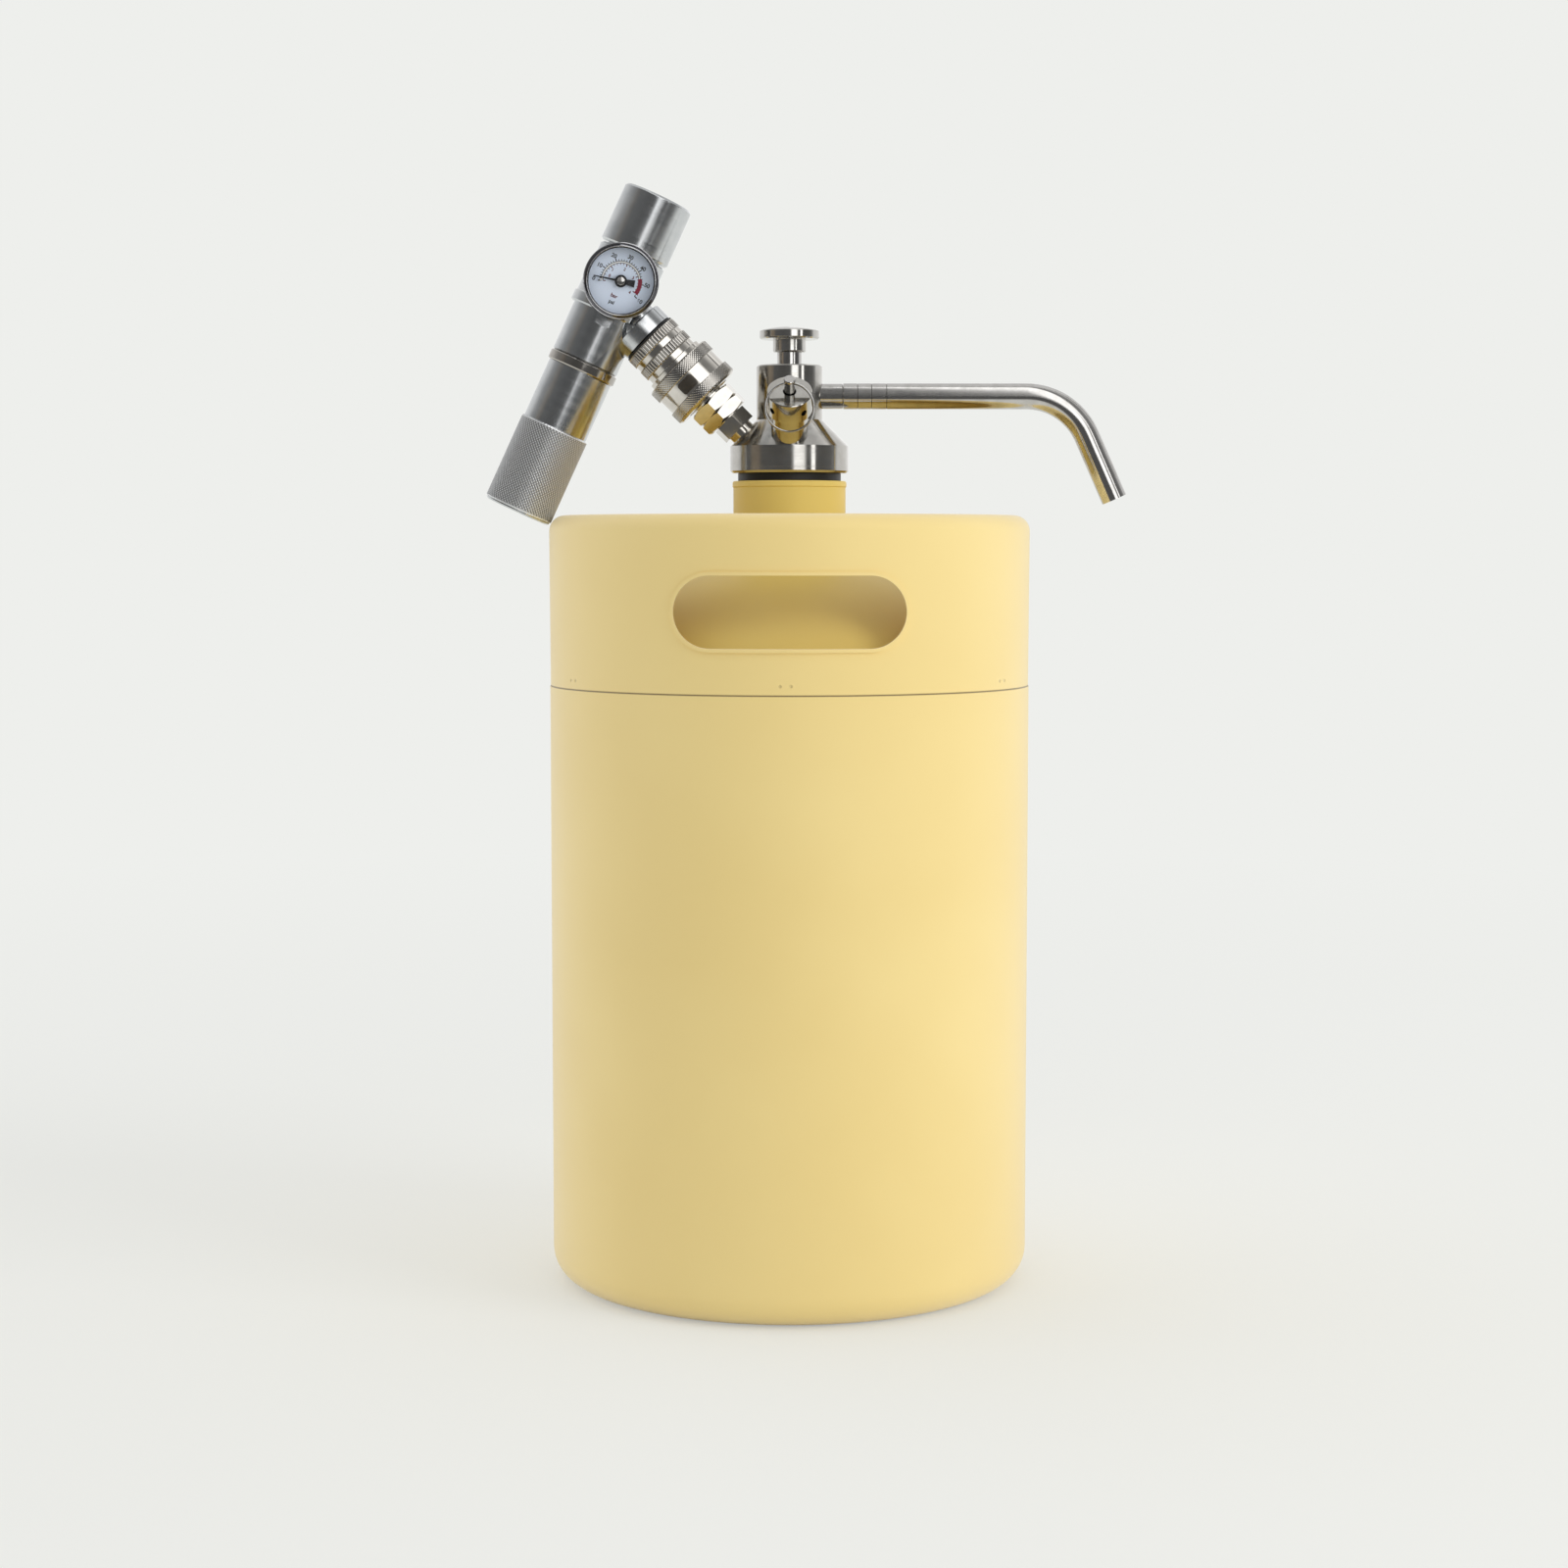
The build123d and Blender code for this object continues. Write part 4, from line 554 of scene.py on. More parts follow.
def coated(name, colour, shade, dimples=False, sheen=0.6):
    """Matte powder coat: orange-peel grain, slow drift of colour and gloss, painted shade in the seam, pale bloom.
    """
    g = Material(name)
    drift = g.noise(g.place, 14.0, 2.0)
    grain = g.noise(g.place, 1500.0, 2.0, 0.6)
    peel = g.noise(g.place, 420.0, 2.0, 0.5)
    speck = g.between(g.noise(g.place, 900.0, 1.0), 0.35, 0.7, 0.0, 0.35)
    skin = g.bump(grain, 0.010, 0.5, g.bump(peel, 0.020, 0.45))
    paint = g.blend(g.between(drift, 0.35, 0.65), colour, shade)
    # painted shade: a dark line along the seam between collar and wall
    paint = g.blend(g.math("MULTIPLY", seam_dust(g), 0.85), paint, linear(112, 90, 50))
    if dimples:
        # painted shade on the collar's inner wall
        paint = g.blend(inside_of_collar(g), paint, linear(224, 196, 104))
        dents = weld_dimples(g)
        skin = g.bump(g.math("SUBTRACT", 1.0, dents), 0.5, 0.8, skin)
        # painted shade in the dents, on top of their bump
        paint = g.blend(g.math("MULTIPLY", dents, 0.35), paint, tuple(c * 0.55 for c in shade))
    g.set(Base_Color=paint, Normal=skin,
          Roughness=g.math("ADD", g.between(drift, 0.3, 0.7, 0.43, 0.48), g.math("MULTIPLY", speck, 0.08)))
    g.shader.inputs["Specular IOR Level"].default_value = 0.5
    g.shader.inputs["Sheen Weight"].default_value = sheen
    g.shader.inputs["Sheen Roughness"].default_value = 0.5
    g.shader.inputs["Sheen Tint"].default_value = (1.0, 0.93, 0.8, 1.0)
    return g.material


def lathe_marks(g, axis):
    """(radius and height about an axis as a flat vector, the direction round it)."""
    rel = g.vector("SUBTRACT", g.place, tuple(axis.origin * MM))
    height = g.vector("DOT_PRODUCT", rel, tuple(axis.along))
    round_it = g.vector("CROSS_PRODUCT", tuple(axis.along), rel)
    radius = g.vector("LENGTH", round_it)
    turn = g.node("VectorTransform")
    turn.vector_type = "VECTOR"
    turn.convert_from, turn.convert_to = "OBJECT", "WORLD"
    g.link(g.vector("NORMALIZE", round_it), turn.inputs[0])
    return g.combine(radius, height), turn.outputs[0]


def turned_metal(name, axis, colour, tone, rough, lines=2600.0, depth=0.0006, spread=0.75,
                 stub=None, stub_height=0.0, dark=0.0, dry=0.0):
    """Metal off the lathe: rings of fine marks round the axis, and a highlight drawn out along it.

    rough holds the least and greatest roughness, lines and depth are the marks' number per metre
    and depth in millimetres, and spread is the highlight's. Below stub_height on a second axis,
    stub, the marks run round that one. dark is how far painted shade darkens the grooves of a
    knurl, and dry how much of a pale oxide skin its tops have.
    """
    g = Material(name)
    flat, round_it = lathe_marks(g, axis)
    if stub is not None:
        stub_flat, round_stub = lathe_marks(g, stub)
        rel = g.vector("SUBTRACT", g.place, tuple(stub.origin * MM))
        on_stub = g.math("LESS_THAN", g.vector("DOT_PRODUCT", rel, tuple(stub.along)), stub_height * MM)
        flat = g.blend_vectors(on_stub, flat, stub_flat)
        round_it = g.blend_vectors(on_stub, round_it, round_stub)
    marks = g.noise(flat, lines, 2.0, 0.6, "2D")
    bands = g.noise(flat, lines * 0.14, 2.0, 0.5, "2D")
    haze = g.noise(g.place, 160.0, 3.0)
    skin = g.blend(g.between(haze, 0.35, 0.68), colour, tone)
    metallic = 1.0
    if dry:
        skin = g.blend(g.attribute("grip"), skin, linear(248, 249, 250))
        metallic = g.between(g.attribute("grip"), 0.0, 1.0, 1.0, 1.0 - dry)
    # painted shade: a knurl's grooves darken with their depth
    if dark:
        skin = g.blend(g.math("MULTIPLY", g.attribute("groove"), dark), skin, groove_shade)
    gloss = g.math("ADD", g.between(marks, 0.3, 0.7, *rough), g.between(bands, 0.3, 0.7, -0.02, 0.03))
    g.set(Base_Color=skin, Metallic=metallic, Roughness=gloss, Normal=g.bump(marks, depth, 0.5))
    g.shader.inputs["Anisotropic"].default_value = spread
    g.shader.inputs["Anisotropic Rotation"].default_value = 0.25
    g.link(round_it, g.shader.inputs["Tangent"])
    return g.material


def plated(name, colour, tone, rough):
    """Bright nickel or polished steel: faint haze and hairline wear."""
    g = Material(name)
    haze = g.noise(g.place, 240.0, 4.0, 0.6)
    fine = g.noise(g.place, 1800.0, 2.0, 0.5)
    g.set(Base_Color=g.blend(g.between(haze, 0.35, 0.7), colour, tone), Metallic=1.0,
          Roughness=g.math("ADD", g.between(haze, 0.3, 0.7, *rough), g.between(fine, 0.3, 0.7, -0.01, 0.02)),
          Normal=g.bump(fine, 0.0012, 0.4))
    return g.material


def banded_steel(name, axis, low, high):
    """Polished steel with a painted dark reflection: a darker band between two radii about an axis."""
    g = Material(name)
    radius = g.split(lathe_marks(g, axis)[0])[0]
    off = g.math("ABSOLUTE", g.math("SUBTRACT", radius, (low + high) / 2 * MM))
    band = g.between(off, (high - low) / 2 * MM, ((high - low) / 2 + 0.06) * MM, 1.0, 0.0)
    haze = g.noise(g.place, 240.0, 4.0, 0.6)
    steel = g.blend(g.between(haze, 0.35, 0.7), linear(216, 216, 218), linear(202, 202, 205))
    # painted dark reflection on the band
    g.set(Base_Color=g.blend(band, steel, linear(104, 104, 108)), Metallic=1.0,
          Roughness=g.between(haze, 0.3, 0.7, 0.05, 0.09))
    return g.material


def moulded(name, colour, tone, rough=(0.42, 0.55)):
    """Moulded rubber or plastic: a faint grain and uneven gloss."""
    g = Material(name)
    cloud = g.noise(g.place, 120.0, 3.0)
    grain = g.noise(g.place, 2200.0, 2.0)
    g.set(Base_Color=g.blend(cloud, colour, tone), Roughness=g.between(cloud, 0.3, 0.7, *rough),
          Normal=g.bump(grain, 0.006, 0.4))
    return g.material


sand_tones = linear(244, 219, 147), linear(241, 215, 142)
steel_tones = linear(205, 203, 200), linear(190, 188, 184)
nickel_tones = linear(218, 214, 207), linear(204, 199, 191)
aluminium_tones = linear(214, 216, 217), linear(202, 205, 207)
fine_lines = 3000.0, 0.0004            # lathe marks per metre and their depth in millimetres

sand = coated("sand_powder_coat", *sand_tones)
sand_collar = coated("sand_powder_coat_collar", *sand_tones, dimples=True)
# Painted shade: the neck and the shoulder inside the collar take darker, more saturated copies of the coat
sand_neck_shaded = coated("sand_powder_coat_neck_shaded", linear(235, 208, 114), linear(231, 203, 108), sheen=0.0)
sand_inner_shaded = coated("sand_powder_coat_inner_shaded", linear(230, 202, 114), linear(226, 197, 108), sheen=0.0)
turned_head = turned_metal("turned_head_steel", upright, linear(205, 203, 198), linear(190, 187, 181),
                           (0.12, 0.18), spread=0.8)
turned_knob = turned_metal("turned_knob_steel", upright, linear(208, 206, 202), linear(192, 190, 184),
                           (0.10, 0.16))
bright_spout = plated("polished_spout_steel", *steel_tones, (0.09, 0.16))
bright_steel = plated("polished_steel", *steel_tones, (0.08, 0.14))
relief_metal = turned_metal("turned_relief_steel", relief_line, linear(202, 200, 194), linear(188, 185, 178),
                            (0.12, 0.18), spread=0.5)
nickel = plated("nickel_plate", linear(216, 212, 204), linear(203, 198, 189), (0.08, 0.14))
nickel_turned = turned_metal("turned_nickel", gas_line, *nickel_tones, (0.09, 0.15), spread=0.4)
ribbed_nickel = turned_metal("ribbed_nickel", gas_line, *nickel_tones, (0.09, 0.15), spread=0.4, dark=0.6)
aluminium = turned_metal("satin_aluminium", barrel_line, *aluminium_tones, (0.17, 0.22), *fine_lines, 0.8)
boss_end = walls_at("coupler_tail", gas_line, tail_rib_r)[-1][1] + boss_past_ribs
aluminium_body = turned_metal("satin_aluminium_body", barrel_line, *aluminium_tones, (0.16, 0.21),
                              *fine_lines, 0.8, stub=gas_line, stub_height=boss_end)
aluminium_knurl = turned_metal("knurled_aluminium", barrel_line, *aluminium_tones, (0.17, 0.22),
                               *fine_lines, 0.6, dark=1.0, dry=0.65)
knurled_nickel = turned_metal("knurled_nickel", gas_line, linear(222, 218, 211), linear(208, 203, 195),
                              (0.08, 0.14), spread=0.2, dark=0.6)
bezel_r, bezel_h = gauge_line.measure(node_points("gauge_bezel"))
bezel_face_r = bezel_r.max() - bezel_face_in
bezel_steel = banded_steel("bezel_steel", gauge_line, bezel_face_r - bezel_face_width, bezel_face_r - 0.02)
ring_steel = turned_metal("ring_steel", barrel_line, linear(190, 186, 180), linear(176, 171, 164),
                          (0.07, 0.12), spread=0.7)
black_rubber = moulded("black_rubber", linear(26, 26, 26), linear(36, 36, 35))
black_plastic = moulded("black_plastic", linear(24, 24, 25), linear(32, 32, 33), (0.3, 0.42))
white_plastic = moulded("white_plastic", linear(232, 232, 226), linear(222, 222, 215))
drawn_wire = plated("drawn_wire", linear(180, 180, 178), linear(160, 160, 157), (0.18, 0.28))
drawn_brass = plated("drawn_brass", linear(200, 168, 104), linear(178, 146, 86), (0.18, 0.28))
badge_black = moulded("badge_black", linear(48, 44, 38), linear(70, 64, 56), (0.25, 0.4))
dial_white = moulded("dial_white", linear(226, 236, 252), linear(220, 231, 249), (0.45, 0.55))
dial_black = moulded("dial_black", linear(18, 18, 22), linear(26, 26, 30))
dial_highlight_white = moulded("dial_highlight_white", linear(246, 246, 246), linear(240, 240, 240))
dial_red = moulded("dial_red", linear(150, 34, 62), linear(138, 30, 56))
dial_dark_red = moulded("dial_dark_red", linear(104, 34, 40), linear(92, 30, 36))
steel_plate = plated("vessel_steel", linear(190, 190, 188), linear(172, 172, 170), (0.22, 0.34))


def lens_glass():
    """A clear window: thin, faintly tinted, with a film of haze in its gloss."""
    g = Material("gauge_window")
    haze = g.noise(g.place, 300.0, 3.0)
    g.set(Base_Color=(0.95, 0.97, 1.0), Roughness=g.between(haze, 0.3, 0.7, 0.02, 0.05))
    g.shader.inputs["Transmission Weight"].default_value = 1.0
    g.shader.inputs["IOR"].default_value = 1.45
    g.shader.inputs["Alpha"].default_value = 0.15
    return g.material


clear_window = lens_glass()

# ---- Keg
turned("outer_shell", upright, sand, sheet_round, around=320)
turned("shoulder", upright, sand_inner_shaded, sheet_round, around=256)
turned("neck", upright, sand_neck_shaded, soft=0.25, around=192)
dressed("collar", sand_collar, angle=25)
turned("head_gasket", upright, black_rubber, soft=0.3)
dressed("base_plate", sand)
dressed("vacuum_seal_cap", black_plastic)
dressed("inner_vessel", steel_plate)

# ---- Tap head
dressed("head_body", turned_head, angle=25)
dressed("outlet_stub", bright_steel)
dressed("spout_tube", bright_spout, angle=25)
turned("plunger_stem", upright, bright_steel)
turned("plunger_knob", upright, turned_knob, soft=0.2)
dressed("relief_body", relief_metal)
dressed("relief_cap", relief_metal)
dressed("relief_pin", bright_steel)
dressed("pull_ring", bright_steel, angle=60)
dressed("gas_post", nickel)
dressed("gas_nut", nickel)
dressed("plug_nipple", nickel_turned)
for node in ("tube_holder", "valve_seat"):
    dressed(node, white_plastic)
dressed("dip_tube", bright_steel)
for node in ("stem_seals", "relief_seal", "valve_plug", "coupler_seal", "piston_seal", "cartridge_seal"):
    dressed(node, black_rubber)
for node in ("plunger_spring", "relief_spring", "coupler_spring", "regulator_spring", "stop_ring"):
    dressed(node, drawn_wire, angle=60)

# ---- Quick coupler
dressed("coupler_balls", bright_steel, angle=60)
dressed("coupler_body", nickel_turned)


def flat_disc(rings, around):
    """Faces of a centre point and rings of points round it, joined outwards."""
    j = np.arange(around)
    beside = (j + 1) % around
    faces = [[0, 1 + k, 1 + (k + 1) % around] for k in range(around)]
    for ring in range(rings - 1):
        inner, outer = 1 + ring * around, 1 + (ring + 1) * around
        faces += np.stack([inner + j, outer + j, outer + beside, inner + beside], 1).tolist()
    return faces


def sleeve_badge(radius, centre, angle, width, height):
    """A small dark plate bent round the sleeve, at a height centre along the gas line.

    Ring i is the superellipse |x / a| ** 6 + |y / b| ** 6 = 1 scaled by its share, x running round
    the sleeve and y along it. The face is level and its rim turns down into the wall.
    """
    around = 64
    shares = np.array([0.4, 0.8, 0.93, 0.98, 1.0, 1.0])
    rises = np.array([0.07, 0.07, 0.07, 0.05, 0.0, -0.3])
    turn = np.arange(around) * 2 * pi / around
    reach = (np.abs(np.cos(turn)) ** 6 + np.abs(np.sin(turn)) ** 6) ** (-1 / 6)
    x = shares[:, None] * reach * np.cos(turn) * width / 2
    y = shares[:, None] * reach * np.sin(turn) * height / 2
    rise = np.repeat(rises[:, None], around, 1)
    x, y = (np.concatenate([[0], part.ravel()]) for part in (x, y))
    rise = np.concatenate([rises[:1], rise.ravel()])
    points = gas_line.place(radius + rise, angle - x / radius, centre + y)
    make_piece("sleeve_badge", points, flat_disc(len(shares), around), body_of["coupler_sleeve"],
               badge_black, "nickel_plate")


sleeve_grips = walls_at("coupler_sleeve", gas_line, sleeve_grip_r, 48)
sleeve_bands = [(sleeve_grip_r, low, high, (high - low) / 4 / sleeve_diamond_rows,
                 diamonds(low, sleeve_diamonds, (high - low) / sleeve_diamond_rows, sleeve_knurl_depth))
                for low, high in sleeve_grips]
turned("coupler_sleeve", gas_line, knurled_nickel, 0.1, sleeve_diamonds * 4, sleeve_bands, rings=48)
sleeve_badge(sleeve_wall_r, centre=(sleeve_grips[0][1] + sleeve_grips[1][0]) / 2, angle=radians(-98.7),
             width=7.0, height=4.7)
tail_bands = [(tail_rib_r, low, high, 0.6, ribs(tail_ribs, tail_rib_depth))
              for low, high in walls_at("coupler_tail", gas_line, tail_rib_r)]
turned("coupler_tail", gas_line, ribbed_nickel, 0.1, tail_ribs * 8, tail_bands)    # 8 points to a rib
turned("boss_seal", gas_line, black_rubber, soft=0.1)

# ---- Regulator
dressed("regulator_body", aluminium_body, angle=25)
turned("end_ring", barrel_line, ring_steel)
turned("adjusting_knob", barrel_line, aluminium, soft=0.3)
grip_low, grip_high = walls_at("cartridge_sleeve", barrel_line, holder_grip_r)[0]
holder_pitch = (grip_high - grip_low) / holder_diamond_rows
holder_knurl = diamonds(grip_low, holder_diamonds, holder_pitch, holder_knurl_depth)
turned("cartridge_sleeve", barrel_line, aluminium_knurl, 0.15, holder_diamonds * 4,
       [(holder_grip_r, grip_low, grip_high, holder_pitch / 4, holder_knurl)])
dressed("co2_cartridge", steel_plate)
for node in ("regulator_poppet", "regulator_piston", "spring_disc", "adjusting_screw", "bourdon_tube"):
    dressed(node, drawn_brass)
dressed("pierce_pin", bright_steel)

# ---- Gauge
dressed("gauge_stem", nickel)
turned("gauge_case", gauge_line, black_plastic)
dressed("gauge_lens", clear_window)
dressed("gauge_dial", dial_white)
dressed("gauge_pointer", dial_black)
dial_r, dial_h = gauge_line.measure(node_points("gauge_dial"))
dial_face = dial_h[dial_r > dial_r.max() - same_wall].max()
pointer_top = gauge_line.measure(node_points("gauge_pointer"))[1].max()


def rolled_bezel():
    """The polished rim and the black seal of the window inside it.

    The rim has a thin outer bead, a fine groove, a broad face that leans outwards and a round inner
    edge. For s from 0 to 1 the face runs inwards by bezel_face_width * s and rises by 0.68 s ** 0.85.
    """
    out_r, back, front = bezel_r.max(), bezel_h.min(), bezel_h.max()
    lip = bezel_h[bezel_r < bezel_r.min() + same_wall].min()
    bead_r, edge_r = 0.2, 0.18
    bead = np.linspace(0, pi * 0.6, 6)
    slope = np.linspace(0, 1, 7)
    edge = np.linspace(-pi * 0.1, pi, 8)
    outline = np.concatenate([
        [(bezel_bore, back), (out_r - bead_r, back), (out_r, back + bead_r)],
        np.stack([out_r - bead_r + bead_r * np.cos(bead), front - 1.0 + bead_r * np.sin(bead)], 1),
        [(out_r - 0.34, front - 0.95), (out_r - 0.38, front - 0.95)],
        np.stack([bezel_face_r - bezel_face_width * slope, front - 0.86 + 0.68 * slope ** 0.85], 1),
        np.stack([out_r - 1.36 + edge_r * np.cos(edge), front - edge_r + edge_r * np.sin(edge)], 1),
        [(out_r - 1.56, front - 0.6), (out_r - 1.7, lip), (bezel_bore, lip)]])
    body = body_of["gauge_bezel"]
    make_piece("gauge_bezel_finish", *turned_surface(gauge_line, outline, 192), body, bezel_steel,
               "polished_steel", ("gauge_bezel",))
    seal = np.array([(out_r - 1.9, lip + 0.02), (out_r - 1.52, lip + 0.02), (out_r - 1.48, front - 0.85),
                     (out_r - 1.62, front - 0.85)])
    make_piece("gauge_window_seal", *turned_surface(gauge_line, seal), body, black_rubber, "black_rubber")


rolled_bezel()


def on_dial(flat, rise):
    """Points of (x, y) on the dial, x to the right and y up the barrel, raised above its face."""
    return (gauge_line.origin + flat[:, :1] * gauge_line.across + flat[:, 1:] * gauge_line.third
            + (dial_face + rise) * gauge_line.along)


def arc(inner, outer, start, end, steps=48):
    """A curved band of the dial between two radii and two angles in degrees."""
    turn = np.radians(np.linspace(start, end, steps))
    ring = np.stack([np.cos(turn), np.sin(turn)], 1)
    points = np.concatenate([ring * inner, ring * outer])
    j = np.arange(steps - 1)
    return points, np.stack([j, j + steps, j + steps + 1, j + 1], 1).tolist()


def tick(inner, outer, angle, width):
    """A straight mark of the dial from one radius to another."""
    along = np.array([cos(radians(angle)), sin(radians(angle))])
    aside = np.array([along[1], -along[0]]) * width / 2
    near, far = along * inner, along * outer
    return np.stack([near - aside, near + aside, far + aside, far - aside]), [[0, 1, 2, 3]]


def words(text, x, y, size):
    """Plain lettering centred on a point of the dial, its strokes fattened by boldness of its size."""
    boldness = 0.028
    curve = bpy.data.curves.new("lettering", "FONT")
    curve.body = text
    curve.size = size
    curve.offset = boldness * size
    curve.align_x, curve.align_y = "CENTER", "CENTER"
    holder = bpy.data.objects.new("lettering", curve)
    mesh = bpy.data.meshes.new_from_object(holder)
    points = np.array([vertex.co[:2] for vertex in mesh.vertices])
    faces = [list(polygon.vertices) for polygon in mesh.polygons]
    bpy.data.objects.remove(holder)
    bpy.data.meshes.remove(mesh)
    return points - (points.min(0) + points.max(0)) / 2 + (x, y), faces


def printed(name, marks, material, rise):
    """Marks of one ink on the dial, joined as one flat piece whose faces look out of the gauge."""
    flats, faces, first = [], [], 0
    for points, own in marks:
        for face in own:
            x, y = points[face, 0], points[face, 1]
            area = (x * np.roll(y, -1) - np.roll(x, -1) * y).sum()
            faces.append([first + corner for corner in (face if area > 0 else face[::-1])])
        flats.append(points)
        first += len(points)
    make_piece(name, on_dial(np.concatenate(flats), rise), faces, body_of["gauge_dial"], material,
               "dial_white", smooth=False)


def polar(radius, angle):
    return radius * cos(radians(angle)), radius * sin(radians(angle))


# Angles in degrees from the dial's right, radii and widths in millimetres
psi_zero, psi_step = 202.5, 3.75       # the angle of 0 and what one psi takes
bar_step = psi_step * 14.504
psi_arc, bar_arc = (7.02, 7.22), (6.36, 6.56)
red_start, red_end = 31, -15.6
black_marks = [arc(*psi_arc, psi_zero, psi_zero - 60 * psi_step),
               arc(*bar_arc, psi_zero, psi_zero - 4 * bar_step)]
for value in range(0, 61, 2):
    angle = psi_zero - value * psi_step
    black_marks.append(tick(7.1, 8.3, angle, 0.36) if value % 10 == 0 else tick(7.1, 7.8, angle, 0.24))
red_marks = []
for fifth in range(0, 21):
    angle = psi_zero - fifth / 5 * bar_step
    red_marks.append(tick(6.4, 5.5, angle, 0.34) if fifth % 5 == 0 else tick(6.4, 5.85, angle, 0.24))
for value, angle, radius in ((0, 198.3, 9.76), (10, 167, 9.34), (20, 129.2, 9.38), (30, 91.7, 9.17),
                             (40, 54.3, 9.15), (50, 15.4, 9.5), (60, -22.0, 9.75)):
    black_marks.append(words(str(value), *polar(radius, angle), 2.0))
for value, angle, radius in ((0, 178.7, 4.5), (1, 150.7, 4.97), (2, 96, 4.45), (3, 40, 4.54),
                             (4, -26.4, 5.0)):
    red_marks.append(words(str(value), *polar(radius, angle), 1.5))
red_marks.append(words("bar", 0, -5.7, 1.9))
black_marks.append(words("psi", 0, -8.3, 1.9))
red_band = [arc(6.15, 7.6, red_start, red_end, 24)]
# painted highlight: a whiter band between the psi and bar arcs
highlight_band = [arc(bar_arc[1], psi_arc[0], psi_zero, red_start)]
printed("dial_black_print", black_marks, dial_black, print_rise)
printed("dial_dark_red_print", red_marks, dial_dark_red, print_rise + ink_step)
printed("dial_red_band", red_band, dial_red, print_rise + 2 * ink_step)
printed("dial_highlight_band", highlight_band, dial_highlight_white, print_rise + 3 * ink_step)


def domed_button(name, centre, low, rise, radius, body):
    """A round steel button: a straight side, then height = low + rise * sqrt(1 - (r / radius) ** 2)."""
    around, foot = 48, 0.3
    share = np.sin(np.linspace(0, pi / 2, 9))[1:]
    turn = np.arange(around) * 2 * pi / around
    r = np.concatenate([[0], np.repeat(share * radius, around), np.repeat(radius, around)])
    h = low + rise * np.sqrt(np.clip(1 - (r / radius) ** 2, 0, 1))
    h[-around:] = low - foot
    turns = np.concatenate([[0], np.tile(turn, len(share) + 1)])
    points = (gauge_line.origin + (centre[0] + r * np.cos(turns))[:, None] * gauge_line.across
              + (centre[1] + r * np.sin(turns))[:, None] * gauge_line.third + h[:, None] * gauge_line.along)
    make_piece(name, points, flat_disc(len(share) + 1, around), body, bright_steel, "polished_steel")


domed_button("pointer_hub_disc", (0, 0), pointer_top, 0.25, 1.5, body_of["gauge_pointer"])
domed_button("dial_stop_pin", polar(7.4, 200.3), dial_h.max() - 0.12, 0.15, 0.45, body_of["gauge_dial"])

# ---- Camera, floor and light
camera = bpy.data.cameras.new("camera")
camera.lens = lens_mm
camera.sensor_width = sensor_mm
camera.clip_end = 50
camera_object = bpy.data.objects.new("camera", camera)
camera_object.location = tuple(value * MM for value in camera_at)
camera_object.rotation_euler = (radians(90 - camera_down), 0, 0)
bpy.context.scene.collection.objects.link(camera_object)
bpy.context.scene.camera = camera_object

# The floor and the room, in metres
plain = linear(238, 239, 236)    # the backdrop
floor_half = 20.0
near_floor = 0.35                # distance from the keg where the floor starts to fade into the backdrop
far_floor = 1.5                  # and where it is all backdrop
least_fade = 0.4                 # how much of the even tone the floor has close by
room_near = 0.4                  # distance ahead where mirrors start to see the unlit room, not the floor
room_far = 0.7
room_spread = 0.25               # how much further ahead that is for each metre to the side
room_tone = 0.12                 # the unlit room's grey


def plain_floor():
    """A large pale floor that keeps the object's shadow and runs into the backdrop's tone with distance."""
    mesh = bpy.data.meshes.new("floor")
    corners = [(-1, -1), (1, -1), (1, 1), (-1, 1)]
    mesh.from_pydata([(x * floor_half, y * floor_half, 0) for x, y in corners], [], [(0, 1, 2, 3)])
    g = Material("floor_paper")
    cloud = g.noise(g.place, 3.0, 2.0)
    g.set(Base_Color=g.blend(cloud, linear(236, 237, 234), linear(234, 235, 231)), Roughness=0.9)
    g.shader.inputs["Specular IOR Level"].default_value = 0.0
    x, y, z = g.split(g.place)
    away = g.vector("LENGTH", g.place)
    ahead = g.math("SUBTRACT", g.math("MULTIPLY", g.math("ABSOLUTE", x), room_spread), y)
    room = g.math("MULTIPLY", g.between(ahead, room_near, room_far), g.rays("Glossy"))
    tone = g.blend(g.between(away, near_floor, far_floor), linear(243, 244, 241), plain)
    glow = g.node("Emission")
    g.link(g.blend(room, tone, (room_tone,) * 3), glow.inputs["Color"])
    fade = g.math("MAXIMUM", g.between(away, near_floor, far_floor, least_fade, 1.0), room)
    both = g.node("MixShader")
    g.link(g.math("MULTIPLY", g.rays("Camera", "Glossy", "Transmission"), fade), both.inputs[0])
    g.link(g.shader.outputs[0], both.inputs[1])
    g.link(glow.outputs[0], both.inputs[2])
    g.link(both.outputs[0], g.tree.nodes["Material Output"].inputs["Surface"])
    mesh.materials.append(g.material)
    floor = bpy.data.objects.new("floor", mesh)
    bpy.context.scene.collection.objects.link(floor)


plain_floor()


class Sky(Graph):
    """Short calls for the world's nodes."""

    def __init__(self):
        world = bpy.data.worlds.new("studio")
        bpy.context.scene.world = world
        world.use_nodes = True
        super().__init__(world.node_tree)
        self.tree.nodes.clear()
        x, y, self.height = self.split(self.node("TexCoord").outputs["Generated"])
        compass = self.math("ARCTAN2", x, self.math("MULTIPLY", y, -1.0))
        self.compass = self.between(compass, -pi, pi)

    def walls(self, *stops):
        """Tones round the compass, as (degrees from the front, rising to the right; grey or colour)."""
        node = self.node("ValToRGB")
        ramp = node.color_ramp
        while len(ramp.elements) < len(stops):
            ramp.elements.new(0.5)
        for element, (angle, *tone) in zip(ramp.elements, stops):
            element.position = (angle + 180) / 360
            element.color = (*(tone * 3 if len(tone) == 1 else tone), 1)
        self.link(self.compass, node.inputs["Fac"])
        return node.outputs["Color"]


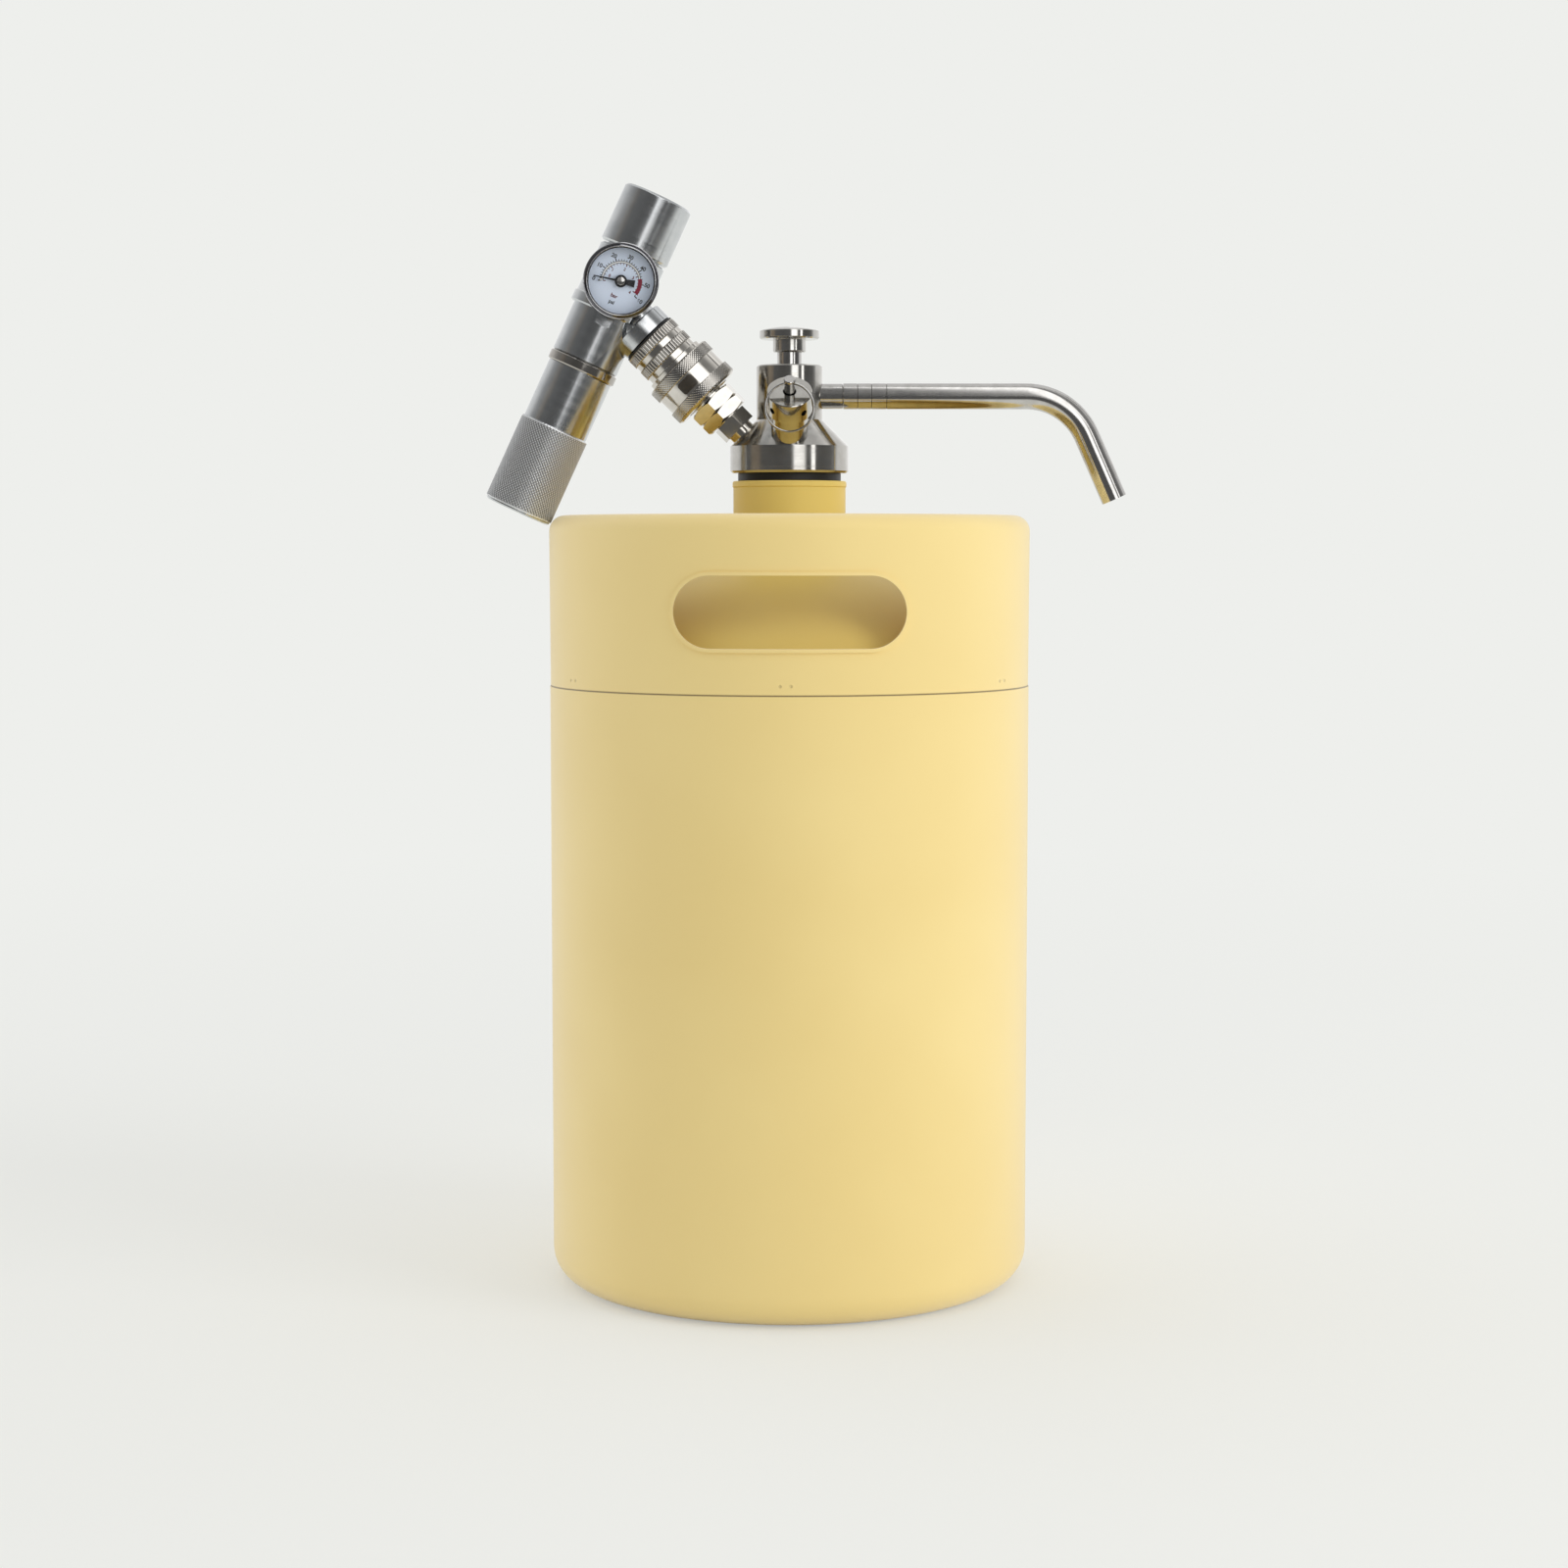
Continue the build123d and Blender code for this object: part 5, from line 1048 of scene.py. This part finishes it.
def studio_world():
    """A soft studio: a pale cove behind and beside the object and a darker room in front of it.

    What the metal mirrors changes with the compass direction: a broad soft panel and a narrow
    window to the right of the front, thin dark frames, the pale cove past the sides and a plain
    ceiling above. Matte surfaces are lit by the same room made even. The view itself and clear
    glass see the plain backdrop.
    """
    sky = Sky()
    mirror_walls = sky.walls(
        (-180, 0.9), (-122, 0.84), (-108, 0.45), (-97, 0.10), (-84, 0.12), (-74, 0.30, 0.25, 0.19),
        (-62, 0.24, 0.20, 0.16), (-54, 0.12), (-22, 0.10), (3, 0.12), (7, 0.6), (10, 2.0), (27, 2.0),
        (31, 0.9), (34, 0.12), (42, 0.12), (44, 2.4), (50, 2.4), (52, 0.12), (66, 0.10), (88, 0.14),
        (97, 0.3), (107, 0.8), (128, 0.95), (180, 1.1))
    mirror_ceiling = sky.walls(
        (-180, 0.75), (-120, 0.6), (-60, 0.16), (4, 0.18), (10, 1.8), (42, 1.8), (52, 0.25),
        (80, 0.3), (112, 0.85), (117, 0.25), (124, 0.25), (128, 1.2), (140, 0.8), (180, 0.75))
    mirror = sky.blend(sky.between(sky.height, 0.22, 0.5), mirror_walls, mirror_ceiling)
    room_walls = sky.walls(
        (-180, 1.2), (-140, 1.9), (-95, 2.0), (-70, 1.35), (-46, 0.33), (0, 0.66), (36, 0.95),
        (60, 1.35), (98, 1.3), (130, 1.0), (180, 1.2))
    room = sky.blend(sky.between(sky.height, 0.45, 0.8), room_walls, (0.9, 0.9, 0.9))
    room_light = 0.85
    seen = sky.blend(sky.rays("Glossy"), sky.blend(room_light, (0, 0, 0), room), mirror)
    seen = sky.blend(sky.rays("Camera", "Transmission"), seen, plain)
    light = sky.node("Background")
    sky.link(seen, light.inputs["Color"])
    sky.link(light.outputs[0], sky.node("OutputWorld").inputs[0])


studio_world()


def soft_lamp(name, place, target, size, power):
    """A rectangular soft lamp aimed at a point. Metal mirrors the room's own window in its place."""
    lamp = bpy.data.lights.new(name, "AREA")
    lamp.shape = "RECTANGLE"
    lamp.size, lamp.size_y = size
    lamp.energy = power
    holder = bpy.data.objects.new(name, lamp)
    aim = Vector(target) - Vector(place)
    holder.location = place
    holder.rotation_euler = aim.to_track_quat("-Z", "Y").to_euler()
    holder.visible_glossy = False
    bpy.context.scene.collection.objects.link(holder)


soft_lamp("window", place=(1.5, -0.9, 0.7), target=(0, 0, 0.2), size=(0.9, 1.1), power=10)
bpy.context.scene.view_settings.view_transform = "Standard"
